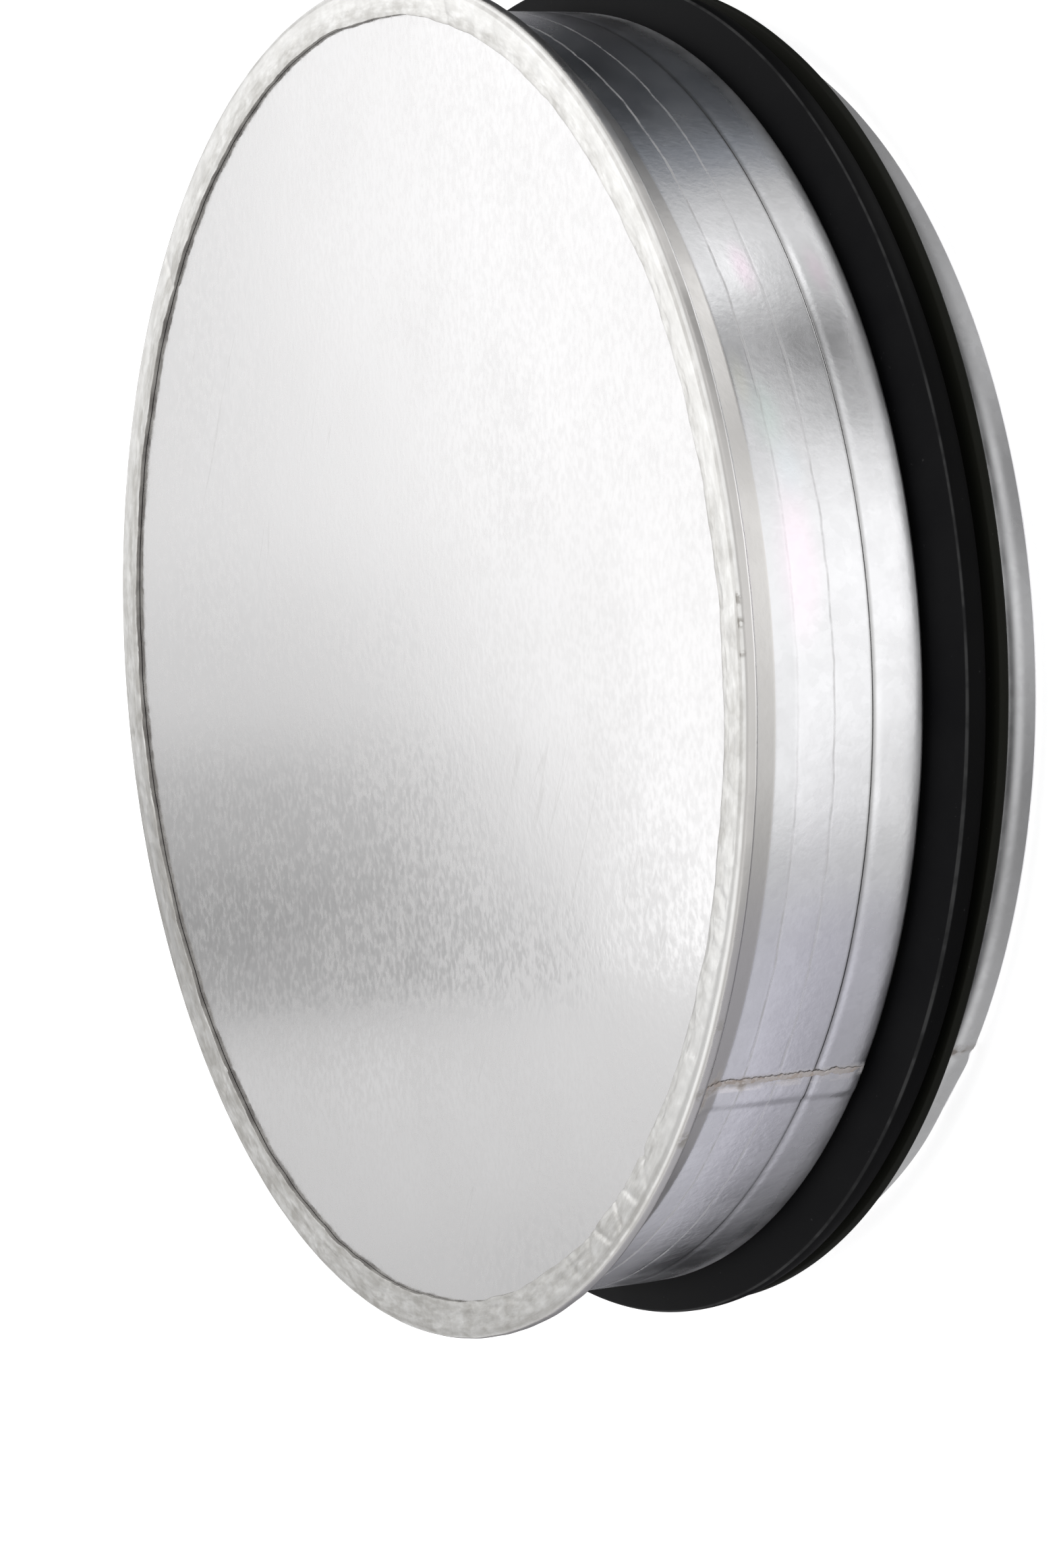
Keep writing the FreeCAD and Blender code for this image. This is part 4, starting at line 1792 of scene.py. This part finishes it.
@dataclass(frozen=True)
class ReflectorMat(Card):
    """A ring on the floor whose light changes round the collar, as the wall mirrors it.

    A stop's place is the azimuth on the wall where the camera sees its light, in degrees from the side that
    faces the camera. The spans tell how far outside the wall one set of stops gives way to the next.

    Attributes:
        wall_radius: The wall's outside radius.
        inner_radius: The mat's inner radius.
        widening: How many times wider its outer edge is.
        lift: How high it lies.
        seen_ease: The factor that corrects the azimuth on the wall where it faces the camera.
        seen_fall: How much less that factor is for each degree away from there.
        ends: The azimuths between which the stops lie.
        far_from: Past which azimuths the light no longer changes.
        high_stops: The light in the wall's upper part, furthest from the wall.
        low_stops: The light in its lower part, nearer.
        flare_stops: The light in the flared shoulder, nearer still.
        ring_stops: The light in the open end's ring, close to the wall.
        edge_stops: The light in that ring's lowest edge, closest.
    """

    name: str = "reflector_mat"
    wall_radius: float = 79.5
    inner_radius: float = 77.4
    widening: float = 5.0
    lift: float = 0.6
    steps: int = 180
    seen_ease: float = 0.955
    seen_fall: float = 0.001
    ends: Span = (-120.0, 120.0)
    low_from: Span = (50.0, 38.0)
    flare_from: Span = (22.0, 18.0)
    dark_from: Span = (9.0, 7.0)
    ring_from: Span = (6.5, 5.5)
    ring_dark: Span = (2.4, 4.8)
    edge_from: Span = (2.0, 0.3)
    far_from: Span = (82.0, 97.0)
    far_colour: Colour = (0.36, 0.36, 0.365)
    far_ring: Colour = (0.20, 0.20, 0.20)
    dark: Colour = (0.01, 0.01, 0.01)
    high_stops: tuple[Stop, ...] = (
        Stop(-120.0, 0.42), Stop(-84.0, 0.10, COOL), Stop(-66.0, 0.24, COOL), Stop(-54.0, 0.59, COOL),
        Stop(-42.0, 0.76, COOL), Stop(-25.0, 0.68, COOL), Stop(-18.0, 0.72), Stop(-13.0, 1.16),
        Stop(0.0, 1.26), Stop(7.0, 1.26), Stop(12.5, 1.08), Stop(18.0, 0.84), Stop(24.0, 0.46),
        Stop(30.0, 1.34), Stop(36.0, 0.76), Stop(42.0, 0.26, SLATE), Stop(48.0, 0.06, SLATE),
        Stop(56.0, 0.025, SLATE), Stop(66.0, 0.05, SLATE), Stop(73.0, 0.24, COOL), Stop(80.0, 0.40),
        Stop(120.0, 0.42),
    )
    low_stops: tuple[Stop, ...] = (
        Stop(-120.0, 0.20), Stop(-72.0, 0.005, COOL), Stop(-66.0, 0.015, COOL), Stop(-60.0, 0.11, COOL),
        Stop(-48.0, 0.28, COOL), Stop(-36.0, 0.43, COOL), Stop(-24.0, 0.53, COOL), Stop(-18.0, 0.66),
        Stop(-12.0, 0.92), Stop(-5.0, 1.12), Stop(1.0, 1.26), Stop(9.0, 1.24), Stop(13.5, 0.98),
        Stop(18.0, 0.50), Stop(23.5, 0.24), Stop(29.5, 0.62), Stop(35.0, 0.82), Stop(39.0, 0.58),
        Stop(43.0, 0.28, SLATE), Stop(48.0, 0.09, SLATE), Stop(55.0, 0.055, SLATE), Stop(68.0, 0.03, COOL),
        Stop(80.0, 0.02, SLATE), Stop(120.0, 0.20),
    )
    flare_stops: tuple[Stop, ...] = (
        Stop(-120.0, 0.30), Stop(-57.0, 0.48, COOL), Stop(-28.0, 0.48, COOL), Stop(-20.0, 0.56),
        Stop(-14.0, 0.84), Stop(0.0, 1.16), Stop(13.0, 1.34), Stop(19.0, 1.00), Stop(26.0, 1.62),
        Stop(33.5, 1.95), Stop(42.0, 0.74), Stop(49.0, 0.16), Stop(64.0, 0.10), Stop(120.0, 0.30),
    )
    ring_stops: tuple[Stop, ...] = (
        Stop(-120.0, 0.20), Stop(-54.0, 0.50), Stop(-35.0, 0.68), Stop(-20.0, 0.55), Stop(-8.0, 0.64),
        Stop(2.0, 0.80), Stop(12.0, 0.66), Stop(24.0, 0.36), Stop(36.0, 0.18), Stop(48.0, 0.10),
        Stop(120.0, 0.05),
    )
    edge_stops: tuple[Stop, ...] = (
        Stop(-120.0, 0.20), Stop(-54.0, 0.48), Stop(-36.0, 0.44), Stop(-14.0, 0.28), Stop(0.0, 0.46),
        Stop(11.0, 0.32), Stop(24.0, 0.50), Stop(36.0, 0.38), Stop(48.0, 0.26), Stop(120.0, 0.20),
    )

    def mesh(self) -> bmesh.types.BMesh:
        """Makes the flat ring, just above the floor.

        Returns:
            Its mesh.
        """
        mesh = bmesh.new()
        bmesh.ops.create_circle(mesh, cap_ends=False, segments=self.steps, radius=self.inner_radius * MM)
        rim = bmesh.ops.extrude_edge_only(mesh, edges=mesh.edges[:])
        outer = [item for item in rim["geom"] if isinstance(item, bmesh.types.BMVert)]
        bmesh.ops.scale(mesh, verts=outer, vec=(self.widening, self.widening, 1.0))
        bmesh.ops.translate(mesh, verts=mesh.verts, vec=(0.0, 0.0, self.lift * MM))
        return mesh

    def seen_from_wall(self, glow: Glow) -> tuple[Socket, Socket]:
        """Finds which part of the wall mirrors a point of the mat.

        Args:
            glow: The nodes of the mat's material.

        Returns:
            The azimuth on the wall in degrees, and how far outside the wall the point is in metres.
        """
        east, north, _ = glow.axes(glow.turned(glow.place, -VIEW_AZIMUTH))
        out = glow.length(east, north)
        turn = glow.math("DEGREES", glow.math("ARCTAN2", north, east))
        spread = glow.math("SUBTRACT", 2.0, glow.math("DIVIDE", self.wall_radius * MM, out))
        near = glow.math("DIVIDE", turn, spread)
        fall = glow.product(glow.math("ABSOLUTE", near), self.seen_fall)
        seen_at = glow.product(near, glow.math("SUBTRACT", self.seen_ease, fall))
        angle = glow.math("RADIANS", seen_at)
        aside = glow.math("POWER", glow.product(glow.math("SINE", angle), self.wall_radius * MM), 2.0)
        along = glow.math("SQRT", glow.math("SUBTRACT", glow.math("POWER", out, 2.0), aside))
        wall = glow.product(glow.math("COSINE", angle), self.wall_radius * MM)
        return seen_at, glow.math("SUBTRACT", along, wall)

    def light(self, glow: Glow) -> Socket:
        """Works out the mat's light from where the wall mirrors it.

        Args:
            glow: The nodes of the mat's material.

        Returns:
            The colour of the light.
        """
        seen_at, fall = self.seen_from_wall(glow)
        high, low, flare, ring, edge = (
            glow.ramp(seen_at, stops, self.ends)
            for stops in (self.high_stops, self.low_stops, self.flare_stops, self.ring_stops, self.edge_stops)
        )
        far = glow.between(glow.math("ABSOLUTE", seen_at), *self.far_from)
        light = glow.mix(glow.across(fall, self.low_from), high, low)
        light = glow.mix(glow.across(fall, self.flare_from), light, flare)
        light = glow.mix(far, light, self.far_colour)
        light = glow.mix(glow.across(fall, self.dark_from), light, self.dark)
        ring = glow.mix(far, ring, self.far_ring)
        ring = glow.mix(glow.across(fall, self.ring_dark), ring, self.dark)
        ring = glow.mix(glow.across(fall, self.edge_from), ring, edge)
        return glow.mix(glow.across(fall, self.ring_from), light, ring)


@dataclass(frozen=True)
class BackCard(Card):
    """A card behind the cap, whose light the closed face mirrors.

    A stop's place is a share of the way across the part of the card that the face mirrors. The spans tell
    between which heights one set of stops gives way to the next.

    Attributes:
        half_side: Half the card's side.
        distance: How far it stands from the axis.
        middle: The height of its middle.
        reach: Half the width of the part that the face mirrors.
    """

    name: str = "back_card"
    half_side: float = 500.0
    distance: float = 200.0
    middle: float = 530.0
    reach: float = 140.0
    middle_from: Span = (105.0, 140.0)
    right_from: Span = (140.0, 168.0)
    far_from: Span = (172.0, 190.0)
    left_stops: tuple[Stop, ...] = (
        Stop(0.00, 0.60), Stop(0.17, 0.66), Stop(0.25, 0.69), Stop(0.284, 0.62), Stop(0.297, 0.44),
        Stop(0.35, 0.37), Stop(0.41, 0.48), Stop(0.49, 0.72), Stop(0.62, 0.85), Stop(1.00, 0.92),
    )
    middle_stops: tuple[Stop, ...] = (
        Stop(0.00, 0.60), Stop(0.12, 0.64), Stop(0.19, 0.71), Stop(0.25, 0.76), Stop(0.284, 0.69),
        Stop(0.297, 0.46), Stop(0.35, 0.47), Stop(0.41, 0.55), Stop(0.48, 0.78), Stop(0.61, 0.99),
        Stop(0.78, 1.09), Stop(1.00, 1.06),
    )
    right_stops: tuple[Stop, ...] = (
        Stop(0.00, 0.56), Stop(0.12, 0.60), Stop(0.19, 0.74), Stop(0.25, 0.78), Stop(0.284, 0.72),
        Stop(0.297, 0.60), Stop(0.330, 0.66), Stop(0.365, 0.79), Stop(0.41, 0.92), Stop(0.50, 1.07),
        Stop(0.65, 1.17), Stop(1.00, 1.22),
    )
    far_stops: tuple[Stop, ...] = (
        Stop(0.00, 0.56), Stop(0.19, 0.74), Stop(0.278, 0.80), Stop(0.300, 1.20), Stop(0.41, 1.18),
        Stop(0.65, 1.18), Stop(1.00, 1.22),
    )

    def mesh(self) -> bmesh.types.BMesh:
        """Makes the upright square, which faces the cap from behind.

        Returns:
            Its mesh.
        """
        azimuth = VIEW_AZIMUTH + 180.0
        mesh = bmesh.new()
        bmesh.ops.create_grid(mesh, x_segments=2, y_segments=2, size=self.half_side * MM)
        turn = Matrix.Rotation(math.radians(azimuth), 4, "Z") @ Matrix.Rotation(math.radians(90.0), 4, "Y")
        spot = Matrix.Translation(placed(azimuth, self.distance, self.middle) * MM)
        bmesh.ops.transform(mesh, verts=mesh.verts, matrix=spot @ turn)
        return mesh

    def light(self, glow: Glow) -> Socket:
        """Works out the card's light from the place across it and the height on it.

        Args:
            glow: The nodes of the card's material.

        Returns:
            The colour of the light.
        """
        aside, _, up = glow.axes(glow.turned(glow.place, -VIEW_AZIMUTH - 90.0))
        share = glow.math("ADD", glow.math("DIVIDE", aside, self.reach * MM * 2.0), 0.5)
        light = glow.ramp(share, self.left_stops)
        for span, stops in (
            (self.middle_from, self.middle_stops),
            (self.right_from, self.right_stops),
            (self.far_from, self.far_stops),
        ):
            light = glow.mix(glow.across(up, span), light, glow.ramp(share, stops))
        return light


@dataclass(frozen=True)
class Viewpoint:
    """The camera, where the photographer stood.

    Attributes:
        tilt: The angle between the line of sight and the cap's axis, in degrees.
        roll: How far the picture is turned, in degrees.
        distance: How far the camera is from the point it is aimed at.
        height: The height of that point on the axis.
        lens: The focal length.
        sensor: The sensor's width.
        shift_x: The shift to the right that crops the picture as the photograph is.
        shift_y: The shift upwards.
    """

    tilt: float = 63.24
    roll: float = -93.59
    distance: float = 570.0
    height: float = 41.65
    lens: float = 106.02
    sensor: float = 36.0
    shift_x: float = 0.0864
    shift_y: float = -0.0787

    def build(self) -> None:
        """Puts the camera there, rolled as the picture is."""
        tilt, roll = math.radians(self.tilt), math.radians(self.roll)
        back = placed(VIEW_AZIMUTH, math.sin(tilt), math.cos(tilt))
        side = placed(VIEW_AZIMUTH + 90.0, 1.0)
        over = side.cross(-back)
        right = math.cos(roll) * side + math.sin(roll) * over
        up = -math.sin(roll) * side + math.cos(roll) * over
        data = bpy.data.cameras.new("camera")
        data.lens = self.lens
        data.sensor_width = self.sensor
        data.sensor_fit = "AUTO"
        data.shift_x = self.shift_x
        data.shift_y = self.shift_y
        data.clip_start = 0.01
        data.clip_end = 20.0
        rig = bpy.data.objects.new("camera", data)
        place = Vector((0.0, 0.0, self.height * MM)) + back * self.distance * MM
        rig.matrix_world = Matrix.Translation(place) @ Matrix((right, up, back)).transposed().to_4x4()
        bpy.context.scene.collection.objects.link(rig)
        bpy.context.scene.camera = rig


@dataclass(frozen=True)
class Lamp:
    """A square soft lamp that faces the cap and isn't mirrored.

    Attributes:
        name: The lamp's name.
        azimuth: Where it hangs, in degrees.
        elevation: How high above the floor, in degrees.
        distance: How far from the cap, in metres.
        size: Its side, in metres.
        power: Its power, in watts.
    """

    name: str
    azimuth: float
    elevation: float
    distance: float
    size: float
    power: float

    def build(self) -> None:
        """Hangs the lamp."""
        data = bpy.data.lights.new(self.name, "AREA")
        data.shape = "SQUARE"
        data.size = self.size
        data.energy = self.power
        lamp = bpy.data.objects.new(self.name, data)
        lamp.visible_glossy = False
        lift = math.radians(self.elevation)
        away = placed(self.azimuth, math.cos(lift), math.sin(lift))
        facing = away.to_track_quat("Z", "Y").to_matrix().to_4x4()
        lamp.matrix_world = Matrix.Translation(away * self.distance) @ facing
        bpy.context.scene.collection.objects.link(lamp)


@dataclass(frozen=True)
class Studio:
    """The room: its soft light, its floor, its lamps and the cards that the metal reflects.

    Attributes:
        light: How strong the room's light is from the sides.
        light_above: How strong it is from above.
        rise: Between which heights of a ray's direction it changes.
        floor_radius: The floor's radius, in metres.
        floor_sunk: How far the floor lies under the cap.
        floor_colour: The floor's colour.
        floor_lift: The light that the floor gives to the camera and to what is glossy.
        lamps: The lamps.
    """

    light: float = 0.62
    light_above: float = 0.92
    rise: Span = (0.35, 0.95)
    floor_radius: float = 3.0
    floor_sunk: float = 0.05
    floor_colour: Colour = (0.86, 0.86, 0.86)
    floor_lift: float = 0.58
    lamps: tuple[Lamp, ...] = (
        Lamp("key_lamp", -20.0, 62.0, 1.6, 1.3, 9.0),
        Lamp("fill_lamp", -150.0, 48.0, 1.8, 1.4, 5.0),
    )

    def world(self) -> None:
        """Fills the room with soft light, and shows white where nothing stands."""
        world = bpy.data.worlds.new("room")
        bpy.context.scene.world = world
        world.use_nodes = True
        world.node_tree.nodes.clear()
        nodes = Nodes(world.node_tree)
        up = nodes.axes(nodes.add("ShaderNodeTexCoord").outputs["Generated"])[2]
        room = nodes.between(up, *self.rise, self.light, self.light_above)
        feeds = {0: nodes.straight(), 2: room, 3: 1.0}
        level = nodes.add("ShaderNodeMix", feeds, data_type="FLOAT").outputs[0]
        back = nodes.add("ShaderNodeBackground", {"Color": (1.0, 1.0, 1.0, 1.0), "Strength": level})
        nodes.add("ShaderNodeOutputWorld", {"Surface": back.outputs[0]})

    def floor(self) -> None:
        """Lays a plain pale floor under the open end."""
        material = bpy.data.materials.new("floor_white")
        material.use_nodes = True
        material.node_tree.nodes.clear()
        nodes = Nodes(material.node_tree)
        matte = nodes.add("ShaderNodeBsdfDiffuse", {"Color": (*self.floor_colour, 1.0)})
        lifted = nodes.product(nodes.straight(), self.floor_lift)
        light = nodes.add("ShaderNodeEmission", {"Strength": lifted})
        both = nodes.add("ShaderNodeAddShader", {0: matte.outputs[0], 1: light.outputs[0]})
        nodes.add("ShaderNodeOutputMaterial", {"Surface": both.outputs[0]})
        mesh = bmesh.new()
        bmesh.ops.create_circle(mesh, cap_ends=True, segments=96, radius=self.floor_radius)
        bmesh.ops.translate(mesh, verts=mesh.verts, vec=(0.0, 0.0, -self.floor_sunk * MM))
        finished(mesh, "floor", 30.0, material)

    def build(self) -> None:
        """Sets up the whole studio and its camera."""
        Viewpoint().build()
        self.world()
        self.floor()
        ReflectorMat().build()
        BackCard().build()
        for lamp in self.lamps:
            lamp.build()
        bpy.context.scene.view_settings.view_transform = "Standard"


@dataclass
class EndCap:
    """The dressed cap: every piece that rides with it, each logged with the slot of its finish."""

    pieces: list[bpy.types.Object] = field(default_factory=list)

    def keep(self, piece: bpy.types.Object, slot: Slot, *nodes: str) -> None:
        """Lets a piece ride with the cap.

        Args:
            piece: The piece.
            slot: The record's slot of its finish.
            nodes: The CAD nodes that it stands for.
        """
        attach(piece, "root")
        if nodes:
            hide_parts(*nodes)
        self.pieces.append(piece)
        LOG.info("%s: %d faces, slot %s", piece.name, len(piece.data.polygons), slot.value)

    def build(self, effects: EffectLibrary) -> None:
        """Builds and dresses every piece.

        Args:
            effects: The shared effects.
        """
        fold, wall = RimFold(), CollarWall()
        rim = fold.build(RimFinish().build(effects))
        fold.bare_edge(rim, CutFinish().build(effects))
        self.keep(rim, Slot.COLLAR, "collar")
        self.keep(wall.build(WallFinish().build(effects)), Slot.COLLAR, "collar")
        self.keep(SeamWeld(wall).build(WeldFinish().build(effects)), Slot.COLLAR)
        self.keep(EndDisc().build(DiscFinish().build(effects)), Slot.DISC, "end_disc")
        self.keep(LipSeal().build(RubberFinish().build(effects)), Slot.RUBBER, "lip_seal")


def main() -> None:
    """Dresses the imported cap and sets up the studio."""
    logging.basicConfig(level=logging.INFO, format="%(message)s")
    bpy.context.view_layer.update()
    cap = EndCap()
    cap.build(EffectLibrary())
    Studio().build()
    LOG.info("%d pieces dressed", len(cap.pieces))


if __name__ == "__main__":
    main()
